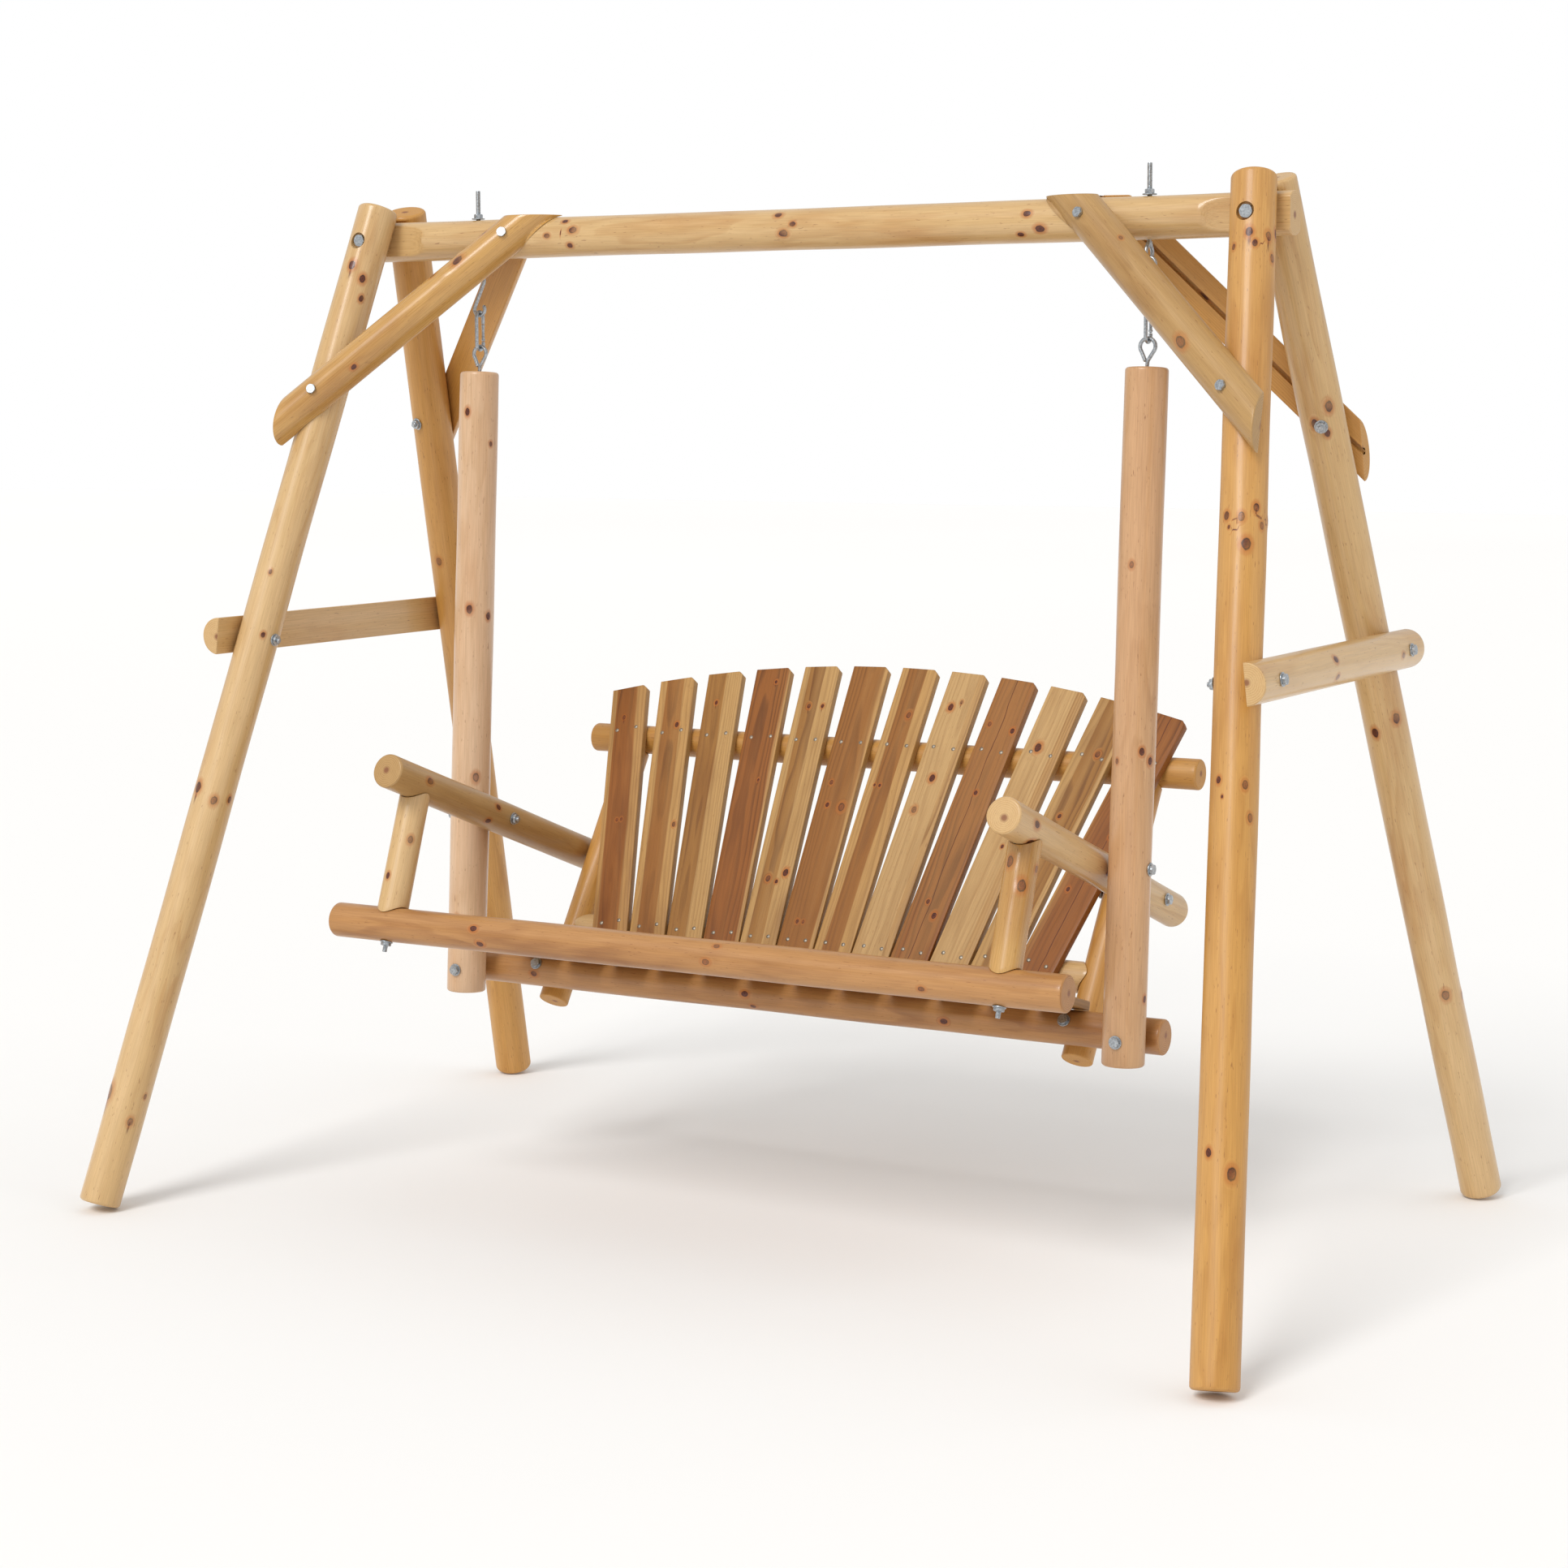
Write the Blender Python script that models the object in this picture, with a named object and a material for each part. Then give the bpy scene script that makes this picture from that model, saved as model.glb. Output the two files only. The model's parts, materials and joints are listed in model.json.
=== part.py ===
"""Free-standing rustic porch swing: a two-seat slatted log bench hung from a log A-frame stand.

Metres, +Z up, -Y to the front, the origin on the ground under the middle. Left and right in the names
are as seen from the front, so left is -X.
The stand is drawn in world space. The seat is drawn in its own frame, whose origin is the seat's
hanging axis and whose posts run straight down, and one empty tilts that frame to where it hangs.
"""
import math

import bpy
from mathutils import Matrix, Vector

# ---- fit ----
GAP = 0.0003  # clearance left between two pieces that touch
LOG_SIDES = 24
WIRE_SIDES = 8

# ---- stand ----
BEAM_HEIGHT = 1.605  # beam axis above the ground
BEAM_LENGTH = 1.700
BEAM_DIAMETER = 0.068
TENON_THICKNESS = 0.044  # beam thickness between its two flats, at each end
TENON_LENGTH = 0.110
TENON_SHOULDER = 0.010
LEG_DIAMETER = 0.070
LEG_TOP_RISE = 0.055  # leg top centre above the beam axis
LEG_TOP_GAP = 0.003  # between front and rear leg at their tops
LEG_TOP_X = 0.800
LEG_FOOT_X = 0.985
LEG_FOOT_Y = 0.600
LEG_BOLT_DIAMETER = 0.010
COUNTERBORE_DIAMETER = 0.028
COUNTERBORE_DEPTH = 0.013
LEG_BOLT_HEAD_HEIGHT = 0.008
LEG_BOLT_END = 0.002  # shank past its nut

# ---- corner braces and side rails: half logs ----
BRACE_DIAMETER = 0.066
BRACE_BITE = 0.004  # how deep the saddle cuts let a brace sit over beam and leg
FRONT_BRACE = {"inset": 0.0817, "drop": 0.268}  # upper bolt inward of the hanger, and down to the lower bolt
REAR_BRACE = {"inset": 0.0526, "drop": 0.305}
BRACE_TOP_RISE = 0.037  # top cut above the beam axis
BRACE_END_REACH = 0.043  # upright end cut, outward of the leg axis
SIDE_RAIL_DIAMETER = 0.064
SIDE_RAIL_HEIGHT = 0.935
SIDE_RAIL_OVERHANG = 0.065  # rail end past the leg axis

# ---- hangers ----
WIRE_DIAMETER = 0.006
EYE_RADIUS = 0.0125  # centreline radius of both eyes
ROD_DIAMETER = 0.008
ROD_RISE = 0.048  # rod top above the beam
EYE_DROP = 0.003  # beam underside to the top of the eye
WASHER_DIAMETER = 0.022
WASHER_THICKNESS = 0.002
NUT_WIDTH = 0.013
NUT_HEIGHT = 0.007
HOOK_RADIUS = 0.0105
HOOK_LENGTH = 0.0695  # wire centre to wire centre
LINK_RADIUS = 0.0095
LINK_LENGTH = 0.0646  # wire centre to wire centre
GATE_LENGTH = 0.026  # pivot to tip
GATE_PIVOT_RISE = 0.017  # gate pivot above the link's lowest wire centre
GATE_GAP = 0.0005  # at each end of the gate
EYE_SCREW_NECK = 0.0165  # post top to the bottom of its eye
EYE_SCREW_DEPTH = 0.050

# ---- seat frame ----
HANG_TILT = 3.46  # degrees: with the posts' lower ends this far forward, the seat hangs in balance
POST_X = 0.618
POST_DIAMETER = 0.068
POST_LENGTH = 1.069
RAIL_DIAMETER = 0.058  # front and lower rail
LOWER_RAIL_RISE = 0.040  # axis above the posts' lower ends
SEAT_DEPTH = 0.371  # lower rail axis to front rail axis, forward
SEAT_RISE = 0.109  # lower rail axis to front rail axis, up
RAIL_OVERHANG = 0.042  # rail end past the post axis
ARM_DIAMETER = 0.058
ARM_HEIGHT = 0.266  # armrest axis above the lower rail axis, where it crosses the post
ARM_SLOPE = 16.6  # degrees, down to the rear
ARM_FRONT_OVERHANG = 0.087  # past the arm support axis
ARM_REAR_OVERHANG = 0.098  # past the upright axis
SUPPORT_DIAMETER = 0.052

# ---- seat back ----
BACK_LEAN = 30.0  # degrees from the posts
UPRIGHT_DIAMETER = 0.053
UPRIGHT_TAIL = 0.034  # below the point nearest the lower rail
BACK_RAIL_DIAMETER = 0.053
REAR_RAIL_RISE = 0.108  # along the upright, from the point nearest the lower rail
TOP_RAIL_RISE = 0.483
TOP_RAIL_INSET = 0.030  # its ends inward of the post axes

# ---- slats ----
SLAT_COUNT = 12
SLAT_THICKNESS = 0.015
BACK_SLAT_MARGIN = 0.0518  # outermost slat's lower end to the upright
BACK_SLAT_START = 0.061  # lower ends, along the uprights
BACK_SLAT_SIDE_GAP = 0.0012  # between slats at their lower ends
BACK_SLAT_FAN = 2.6  # degrees between neighbours
BACK_SLAT_TOP = 0.633  # top of the middle, along the uprights
BACK_SLAT_ARC = 0.0022  # each step from the middle lowers the top by this times the step squared
SEAT_SLAT_SPACE = 0.0136  # between slats
SEAT_SLAT_SIDE_GAP = 0.004  # outermost slat to the arm supports
SEAT_SLAT_SEAT = 0.010  # slat underside above the front rail axis
SEAT_SLAT_FRONT = 0.012  # slat front end behind the front rail axis
SEAT_SLAT_REAR = 0.014  # slat rear end behind the lower rail axis

PINE = ((0.78, 0.52, 0.27), 0.32, 0.0)
PALE_PINE = ((0.83, 0.60, 0.34), 0.34, 0.0)
FIR_TONES = [((0.62, 0.36, 0.18), 0.45, 0.0), ((0.74, 0.52, 0.31), 0.45, 0.0)]
ZINC = ((0.72, 0.73, 0.74), 0.28, 1.0)

SIDES = {"left": -1.0, "right": 1.0}
ENDS = {"front": -1.0, "rear": 1.0}


def clear_scene():
    for item in list(bpy.data.objects):
        bpy.data.objects.remove(item, do_unlink=True)


def make_material(name, look):
    colour, roughness, metallic = look
    material = bpy.data.materials.new(name + "_material")
    material.use_nodes = True
    shader = material.node_tree.nodes["Principled BSDF"]
    shader.inputs["Base Color"].default_value = (*colour, 1.0)
    shader.inputs["Roughness"].default_value = roughness
    shader.inputs["Metallic"].default_value = metallic
    return material


def add_object(name, vertices, faces, look=None, parent=None, sharp_angle=40.0):
    """Make a mesh object. Without a look it is a hidden cutter."""
    mesh = bpy.data.meshes.new(name)
    mesh.from_pydata(vertices, [], faces)
    mesh.validate()
    mesh.shade_smooth()
    mesh.set_sharp_from_angle(angle=math.radians(sharp_angle))
    item = bpy.data.objects.new(name, mesh)
    bpy.context.scene.collection.objects.link(item)
    item.parent = parent
    if look is None:
        item.hide_render = True
        item.display_type = "WIRE"
    else:
        mesh.materials.append(make_material(name, look))
    return item


def combine(target, other, operation="DIFFERENCE"):
    modifier = target.modifiers.new(operation.lower() + "_" + other.name, "BOOLEAN")
    modifier.operation = operation
    modifier.solver = "EXACT"
    modifier.object = other


# ---- profiles: counter-clockwise outlines ----
def round_profile(diameter, sides=LOG_SIDES):
    radius = diameter / 2.0
    turn = 2.0 * math.pi / sides
    return [(radius * math.cos(turn * k), radius * math.sin(turn * k)) for k in range(sides)]


def half_profile(diameter, sides=LOG_SIDES):
    """Half a disc: flat side on the axis, round side towards +v."""
    radius = diameter / 2.0
    turn = 2.0 * math.pi / sides
    return [(radius * math.cos(turn * k), radius * math.sin(turn * k)) for k in range(sides // 2 + 1)]


def board_profile(width, thickness):
    """Rectangle centred in width, with its back face on the axis."""
    half = width / 2.0
    return [(-half, 0.0), (half, 0.0), (half, thickness), (-half, thickness)]


def prism(name, profile, start, end, side, look=None, parent=None, start_cut=None, end_cut=None):
    """Extrude a profile from start to end and cut each end to a plane.

    The profile's u runs along side, made square to the axis, and v completes the frame.
    A cut is the plane's normal; without one the end is cut square.
    """
    start = Vector(start)
    end = Vector(end)
    length = (end - start).length
    along = (end - start).normalized()
    across = Vector(side)
    across = (across - along * across.dot(along)).normalized()
    third = along.cross(across)
    count = len(profile)
    vertices = []
    for base, cut in ((0.0, start_cut), (length, end_cut)):
        normal = along if cut is None else Vector(cut)
        for u, v in profile:
            offset = across * u + third * v
            vertices.append((u, v, base - offset.dot(normal) / along.dot(normal)))
    faces = [(k, (k + 1) % count, (k + 1) % count + count, k + count) for k in range(count)]
    faces.append(tuple(reversed(range(count))))
    faces.append(tuple(range(count, 2 * count)))
    item = add_object(name, vertices, faces, look, parent)
    turn = Matrix((across, third, along)).transposed().to_4x4()
    item.matrix_local = Matrix.Translation(start) @ turn
    return item


def loft(name, rings, look=None, parent=None, closed=False):
    """Skin a list of rings that have equal counts and turn the same way."""
    count = len(rings[0])
    vertices = [tuple(point) for ring in rings for point in ring]
    faces = []
    spans = len(rings) if closed else len(rings) - 1
    for row in range(spans):
        low = row * count
        high = (row + 1) % len(rings) * count
        for k in range(count):
            nxt = (k + 1) % count
            faces.append((low + k, low + nxt, high + nxt, high + k))
    if not closed:
        faces.append(tuple(reversed(range(count))))
        faces.append(tuple(range((len(rings) - 1) * count, len(rings) * count)))
    return add_object(name, vertices, faces, look, parent)


def wire(name, path, diameter, look=None, parent=None, closed=False, normal=(0, 1, 0), round_ends=False):
    """Sweep a round wire along a flat path; normal is square to the path's plane."""
    normal = Vector(normal)
    points = [Vector(point) for point in path]
    radius = diameter / 2.0
    stations = []
    for k, point in enumerate(points):
        before = points[k - 1] if closed or k > 0 else point
        after = points[(k + 1) % len(points)] if closed or k + 1 < len(points) else point
        stations.append((point, (after - before).normalized(), radius))
    if round_ends:
        steps = [math.radians(20.0), math.radians(50.0)]
        first, last = stations[0], stations[-1]
        caps = [(radius * math.sin(a), radius * math.cos(a)) for a in steps]
        head = [(first[0] - first[1] * shift, first[1], size) for shift, size in reversed(caps)]
        tail = [(last[0] + last[1] * shift, last[1], size) for shift, size in caps]
        stations = head + stations + tail
    rings = []
    for point, along, size in stations:
        third = along.cross(normal)
        turn = 2.0 * math.pi / WIRE_SIDES
        ring = []
        for k in range(WIRE_SIDES):
            ring.append(point + (normal * math.cos(turn * k) + third * math.sin(turn * k)) * size)
        rings.append(ring)
    return loft(name, rings, look, parent, closed)


def turned(name, profile, sides, axis_start, along, look=None, parent=None):
    """Revolve (distance, radius) pairs about a line."""
    along = Vector(along).normalized()
    across = along.orthogonal().normalized()
    third = along.cross(across)
    turn = 2.0 * math.pi / sides
    rings = []
    for distance, radius in profile:
        centre = Vector(axis_start) + along * distance
        ring = []
        for k in range(sides):
            ring.append(centre + (across * math.cos(turn * k) + third * math.sin(turn * k)) * radius)
        rings.append(ring)
    return loft(name, rings, look, parent)


def arc(centre, radius, first, last, steps, plane):
    """Points on an arc, angles in degrees; plane is 'xz' or 'yz'."""
    points = []
    for k in range(steps + 1):
        angle = math.radians(first + (last - first) * k / steps)
        flat = radius * math.cos(angle)
        up = radius * math.sin(angle)
        shift = (flat, 0.0, up) if plane == "xz" else (0.0, flat, up)
        points.append(Vector(centre) + Vector(shift))
    return points


# ---- the stand ----
def leg_line():
    """Top and foot axis points of the left front leg's mirror image, in the +X +Y quarter."""
    top = Vector((LEG_TOP_X, 0.0, BEAM_HEIGHT + LEG_TOP_RISE))
    foot = Vector((LEG_FOOT_X, LEG_FOOT_Y, 0.0))
    lean = math.atan2(LEG_FOOT_Y, top.z)
    top.y = (LEG_DIAMETER + LEG_TOP_GAP) / 2.0 / math.cos(lean)
    slope = (foot - top).normalized()
    foot.z = LEG_DIAMETER / 2.0 * math.sqrt(1.0 - slope.z ** 2)
    return top, foot


def leg_at(height):
    top, foot = leg_line()
    return top.lerp(foot, (top.z - height) / (top.z - foot.z))


def mirrored(point, side, end):
    return Vector((point[0] * side, point[1] * end, point[2]))


def beam_shape(name, grow, look=None):
    """The round beam with flats at both ends; grow widens it all round."""
    half = BEAM_LENGTH / 2.0 + grow
    flat = TENON_THICKNESS / 2.0 + grow
    shoulder = BEAM_LENGTH / 2.0 - TENON_LENGTH - grow
    outline = round_profile(BEAM_DIAMETER + 2.0 * grow)
    rings = []
    for x, is_flat in ((-half, True), (-shoulder, True), (-shoulder + TENON_SHOULDER, False),
                       (shoulder - TENON_SHOULDER, False), (shoulder, True), (half, True)):
        ring = []
        for y, z in outline:
            y = max(-flat, min(flat, y)) if is_flat else y
            ring.append((x, y, BEAM_HEIGHT + z))
        rings.append(ring)
    return loft(name, rings, look)


def build_stand():
    beam = beam_shape("top_beam", 0.0, PINE)
    beam_clearance = beam_shape("beam_clearance", GAP)
    for side_name, side in SIDES.items():
        bolt_clearance = build_leg_bolt(side_name, side)
        combine(beam, bolt_clearance)
        for end_name, end in ENDS.items():
            leg, leg_clearance = build_leg(side_name, side, end_name, end)
            combine(leg, beam_clearance)
            combine(leg, bolt_clearance)
            build_brace(side_name, side, end_name, end, beam_clearance, leg_clearance)
        build_side_rail(side_name, side)
    return beam


def build_leg(side_name, side, end_name, end):
    top, foot = leg_line()
    top = mirrored(top, side, end)
    foot = mirrored(foot, side, end)
    name = f"leg_{end_name}_{side_name}"
    leg = prism(name, round_profile(LEG_DIAMETER), top, foot, (1, 0, 0), PINE)
    clearance = prism(name + "_clearance", round_profile(LEG_DIAMETER + 2 * GAP), top, foot, (1, 0, 0))
    return leg, clearance


def build_leg_bolt(side_name, side):
    """One bolt through front leg, beam and rear leg, and the stepped hole that it sits in."""
    at_beam = leg_at(BEAM_HEIGHT)
    lean = math.atan2(LEG_FOOT_Y, BEAM_HEIGHT)
    leg_face = at_beam.y + LEG_DIAMETER / 2.0 / math.cos(lean)
    seat = leg_face - COUNTERBORE_DEPTH
    start = (at_beam.x * side, 0.0, BEAM_HEIGHT)
    shank = LEG_BOLT_DIAMETER / 2.0
    washer = COUNTERBORE_DIAMETER / 2.0 - WASHER_THICKNESS
    washer_face = seat + WASHER_THICKNESS
    head = NUT_WIDTH / 2.0 + WASHER_THICKNESS
    head_face = seat + LEG_BOLT_HEAD_HEIGHT
    half = [(seat, shank), (seat + GAP / 2, washer), (washer_face, washer),
            (washer_face + GAP / 2, head), (head_face, head), (head_face + LEG_BOLT_END, shank)]
    profile = [(-d, r) for d, r in reversed(half)] + half
    turned("leg_bolt_" + side_name, profile, 16, start, (0, 1, 0), ZINC)
    far = leg_face + LEG_DIAMETER / 2.0
    bore = shank + GAP
    pocket = COUNTERBORE_DIAMETER / 2.0
    floor = seat - GAP
    hole = [(-far, pocket), (-floor, pocket), (-floor + GAP / 2, bore),
            (floor - GAP / 2, bore), (floor, pocket), (far, pocket)]
    return turned("leg_bolt_clearance_" + side_name, hole, 16, start, (0, 1, 0))


def build_brace(side_name, side, end_name, end, beam_clearance, leg_clearance):
    """Half log from the beam's face to the leg's face, top cut level, low end cut upright."""
    size = FRONT_BRACE if end_name == "front" else REAR_BRACE
    at_leg = leg_at(BEAM_HEIGHT - size["drop"])
    lean = math.atan2(LEG_FOOT_Y, BEAM_HEIGHT)
    leg_face = at_leg.y + LEG_DIAMETER / 2.0 / math.cos(lean)
    high = Vector((POST_X - size["inset"], BEAM_DIAMETER / 2.0 - BRACE_BITE, BEAM_HEIGHT))
    low = Vector((at_leg.x, leg_face - BRACE_BITE, at_leg.z))
    along = (low - high).normalized()
    top_end = high - along * (BRACE_TOP_RISE / -along.z)
    low_end = low + along * (BRACE_END_REACH / along.x)
    top_end = mirrored(top_end, side, end)
    low_end = mirrored(low_end, side, end)
    outward = Vector((0.0, end, 0.0))
    across = outward.cross(low_end - top_end)
    name = f"brace_{end_name}_{side_name}"
    brace = prism(name, half_profile(BRACE_DIAMETER), top_end, low_end, across, PALE_PINE,
                  start_cut=(0, 0, 1), end_cut=(1, 0, 0))
    combine(brace, beam_clearance)
    combine(brace, leg_clearance)
    return brace


def build_side_rail(side_name, side):
    """Half log flat against the outer faces of one end frame's two legs."""
    at_rail = leg_at(SIDE_RAIL_HEIGHT)
    top, foot = leg_line()
    splay = math.atan2(foot.x - top.x, top.z - foot.z)
    outward = Vector((math.cos(splay), 0.0, math.sin(splay)))
    face = at_rail + outward * (LEG_DIAMETER / 2.0 + GAP)
    reach = at_rail.y + SIDE_RAIL_OVERHANG
    start = mirrored((face.x, -reach, face.z), side, 1.0)
    end = mirrored((face.x, reach, face.z), side, 1.0)
    outward.x *= side
    across = outward.cross(end - start)
    return prism("side_rail_" + side_name, half_profile(SIDE_RAIL_DIAMETER), start, end, across, PALE_PINE)


# ---- the hangers: all three pivots of one side are on axes along X ----
def hanger_heights():
    """World heights of the hook's, the link's and the seat's pivot axes."""
    contact = WIRE_DIAMETER + GAP
    eye_centre = BEAM_HEIGHT - BEAM_DIAMETER / 2.0 - EYE_DROP - EYE_RADIUS - WIRE_DIAMETER / 2.0
    hook = eye_centre - EYE_RADIUS + contact
    link = hook - HOOK_LENGTH
    seat = link + contact - LINK_LENGTH + contact
    return eye_centre, hook, link, seat


def build_eye_bolt(side_name, side, beam):
    eye_centre = hanger_heights()[0]
    x = POST_X * side
    beam_top = BEAM_HEIGHT + BEAM_DIAMETER / 2.0
    ring = arc((x, 0.0, eye_centre), EYE_RADIUS, 0.0, 360.0, 18, "yz")[:-1]
    eye = wire("eye_bolt_" + side_name, ring, WIRE_DIAMETER, ZINC, closed=True, normal=(1, 0, 0))
    base = eye_centre + EYE_RADIUS
    shank = [(0.0, ROD_DIAMETER / 2), (beam_top + ROD_RISE - base, ROD_DIAMETER / 2)]
    rod = turned("eye_bolt_rod_" + side_name, shank, 12, (x, 0.0, base), (0, 0, 1))
    washer_start = beam_top + GAP
    washer_radius = WASHER_DIAMETER / 2.0
    washer_profile = [(0.0, washer_radius), (WASHER_THICKNESS, washer_radius)]
    washer = turned("eye_bolt_washer_" + side_name, washer_profile, 16, (x, 0.0, washer_start), (0, 0, 1))
    nut_radius = NUT_WIDTH / math.sqrt(3.0)
    nut_start = washer_start + WASHER_THICKNESS / 2.0
    nut = turned("eye_bolt_nut_" + side_name, [(0.0, nut_radius), (NUT_HEIGHT, nut_radius)],
                 6, (x, 0.0, nut_start), (0, 0, 1))
    for piece in (rod, washer, nut):
        combine(eye, piece, "UNION")
    bore = ROD_DIAMETER / 2.0 + GAP
    hole = turned("eye_bolt_clearance_" + side_name, [(0.0, bore), (2.0 * BEAM_DIAMETER, bore)],
                  12, (x, 0.0, BEAM_HEIGHT - BEAM_DIAMETER), (0, 0, 1))
    combine(beam, hole)


def build_s_hook(side_name, side):
    """Two opposite hooks joined by a slanted straight; the top one hangs on the eye bolt."""
    hook = hanger_heights()[1]
    x = POST_X * side
    upper = Vector((x, 0.0, hook - HOOK_RADIUS))
    lower = Vector((x, 0.0, hook - HOOK_LENGTH + HOOK_RADIUS))
    tangent = math.degrees(math.asin(-2.0 * HOOK_RADIUS / (upper - lower).length))
    path = arc(upper, HOOK_RADIUS, 205.0, tangent, 12, "xz")
    path += arc(lower, HOOK_RADIUS, tangent + 180.0, 385.0, 12, "xz")
    wire("s_hook_" + side_name, path, WIRE_DIAMETER, ZINC, normal=(0, 1, 0), round_ends=True)


def build_snap_link(side_name, side):
    """Oval link in the YZ plane with a sprung gate in its rear side."""
    x = POST_X * side
    contact = WIRE_DIAMETER + GAP
    top = hanger_heights()[2] + contact
    bottom = top - LINK_LENGTH
    pivot = bottom + GATE_PIVOT_RISE
    tip = pivot + GATE_LENGTH
    radius = WIRE_DIAMETER / 2.0
    path = [Vector((x, LINK_RADIUS, tip + GATE_GAP))]
    path += arc((x, 0.0, top - LINK_RADIUS), LINK_RADIUS, 0.0, 180.0, 9, "yz")
    path += arc((x, 0.0, bottom + LINK_RADIUS), LINK_RADIUS, 180.0, 360.0, 9, "yz")
    path += [Vector((x, LINK_RADIUS, pivot - radius - GATE_GAP))]
    wire("snap_link_" + side_name, path, WIRE_DIAMETER, ZINC, normal=(1, 0, 0))
    gate = turned("snap_gate_" + side_name, gate_profile(radius), 10, (0, 0, 0), (0, 0, 1), ZINC)
    gate.location = (x, LINK_RADIUS, pivot)


def gate_profile(radius):
    """A pin with a round heel about its pivot and a flat tip."""
    heel = [(-radius * math.cos(a), radius * math.sin(a)) for a in map(math.radians, (20.0, 45.0, 70.0))]
    return heel + [(0.0, radius), (GATE_LENGTH, radius)]


# ---- the seat, in the seat frame ----
def seat_layout():
    """Axis points (y, z) of the seat's logs in the seat frame."""
    place = {}
    place["post_top"] = -(EYE_RADIUS * 2.0 + WIRE_DIAMETER / 2.0 + EYE_SCREW_NECK)
    place["post_foot"] = place["post_top"] - POST_LENGTH
    behind = POST_DIAMETER / 2.0 + RAIL_DIAMETER / 2.0 + GAP
    place["lower_rail"] = Vector((0.0, behind, place["post_foot"] + LOWER_RAIL_RISE))
    place["front_rail"] = place["lower_rail"] + Vector((0.0, -SEAT_DEPTH, SEAT_RISE))
    lean = math.radians(BACK_LEAN)
    place["back_up"] = Vector((0.0, math.sin(lean), math.cos(lean)))
    place["back_front"] = Vector((0.0, -math.cos(lean), math.sin(lean)))
    clear = RAIL_DIAMETER / 2.0 + UPRIGHT_DIAMETER / 2.0 + GAP
    place["upright_base"] = place["lower_rail"] - place["back_front"] * clear
    slope = math.radians(ARM_SLOPE)
    place["arm_rearward"] = Vector((0.0, math.cos(slope), -math.sin(slope)))
    place["arm_up"] = Vector((0.0, math.sin(slope), math.cos(slope)))
    place["arm_at_post"] = Vector((0.0, 0.0, place["lower_rail"].z + ARM_HEIGHT))
    place["arm_x"] = POST_X - POST_DIAMETER / 2.0 - ARM_DIAMETER / 2.0 - GAP
    place["upright_x"] = place["arm_x"] - ARM_DIAMETER / 2.0 - UPRIGHT_DIAMETER / 2.0 - GAP
    return place


def along_back(place, rise, forward=0.0):
    """A point at a distance along the uprights, and forward of their axes."""
    return place["upright_base"] + place["back_up"] * rise + place["back_front"] * forward


def at_x(point, x):
    return Vector((x, point[1], point[2]))


def cross_rail(name, point, half_length, diameter, look, parent):
    return prism(name, round_profile(diameter), at_x(point, -half_length), at_x(point, half_length),
                 (0, 1, 0), look, parent)


def build_seat_frame(seat, place):
    rail_half = POST_X + RAIL_OVERHANG
    cross_rail("lower_rail", place["lower_rail"], rail_half, RAIL_DIAMETER, PINE, seat)
    front = cross_rail("front_rail", place["front_rail"], rail_half, RAIL_DIAMETER, PINE, seat)
    front_clearance = cross_rail("front_rail_clearance", place["front_rail"], rail_half,
                                 RAIL_DIAMETER + 2 * GAP, None, seat)
    flush = (UPRIGHT_DIAMETER - BACK_RAIL_DIAMETER) / 2.0
    top_point = along_back(place, TOP_RAIL_RISE, flush)
    top_half = POST_X - TOP_RAIL_INSET
    cross_rail("top_back_rail", top_point, top_half, BACK_RAIL_DIAMETER, PINE, seat)
    top_clearance = cross_rail("top_back_rail_clearance", top_point, top_half,
                               BACK_RAIL_DIAMETER + 2 * GAP, None, seat)
    rear = cross_rail("rear_seat_rail", along_back(place, REAR_RAIL_RISE, flush), place["upright_x"],
                      BACK_RAIL_DIAMETER, PALE_PINE, seat)
    for side_name, side in SIDES.items():
        build_post(seat, place, side_name, side)
        upright_clearance = build_upright(seat, place, side_name, side, top_clearance)
        combine(rear, upright_clearance)
        build_arm(seat, place, side_name, side, front_clearance)
    return front


def build_post(seat, place, side_name, side):
    top = (POST_X * side, 0.0, place["post_top"])
    foot = (POST_X * side, 0.0, place["post_foot"])
    post = prism("post_" + side_name, round_profile(POST_DIAMETER), top, foot, (1, 0, 0), PINE, seat)
    shank = WIRE_DIAMETER / 2.0
    eye_centre = Vector((POST_X * side, 0.0, -EYE_RADIUS))
    ring = arc(eye_centre, EYE_RADIUS, 0.0, 360.0, 18, "xz")[:-1]
    eye = wire("eye_screw_" + side_name, ring, WIRE_DIAMETER, ZINC, seat, closed=True, normal=(0, 1, 0))
    reach = EYE_SCREW_NECK + EYE_SCREW_DEPTH
    start = eye_centre - Vector((0.0, 0.0, EYE_RADIUS))
    rod = turned("eye_screw_shank_" + side_name, [(0.0, shank), (reach, shank)],
                 12, start, (0, 0, -1), None, seat)
    combine(eye, rod, "UNION")
    hole = turned("eye_screw_clearance_" + side_name, [(0.0, shank + GAP), (reach + GAP, shank + GAP)],
                  12, start, (0, 0, -1), None, seat)
    combine(post, hole)


def build_upright(seat, place, side_name, side, top_clearance):
    """Leaning log, saddled under the top back rail."""
    x = place["upright_x"] * side
    foot = at_x(along_back(place, -UPRIGHT_TAIL), x)
    top = at_x(along_back(place, TOP_RAIL_RISE), x)
    upright = prism("upright_" + side_name, round_profile(UPRIGHT_DIAMETER), foot, top,
                    (1, 0, 0), PINE, seat)
    combine(upright, top_clearance)
    return prism("upright_clearance_" + side_name, round_profile(UPRIGHT_DIAMETER + 2 * GAP),
                 foot, top, (1, 0, 0), None, seat)


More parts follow.
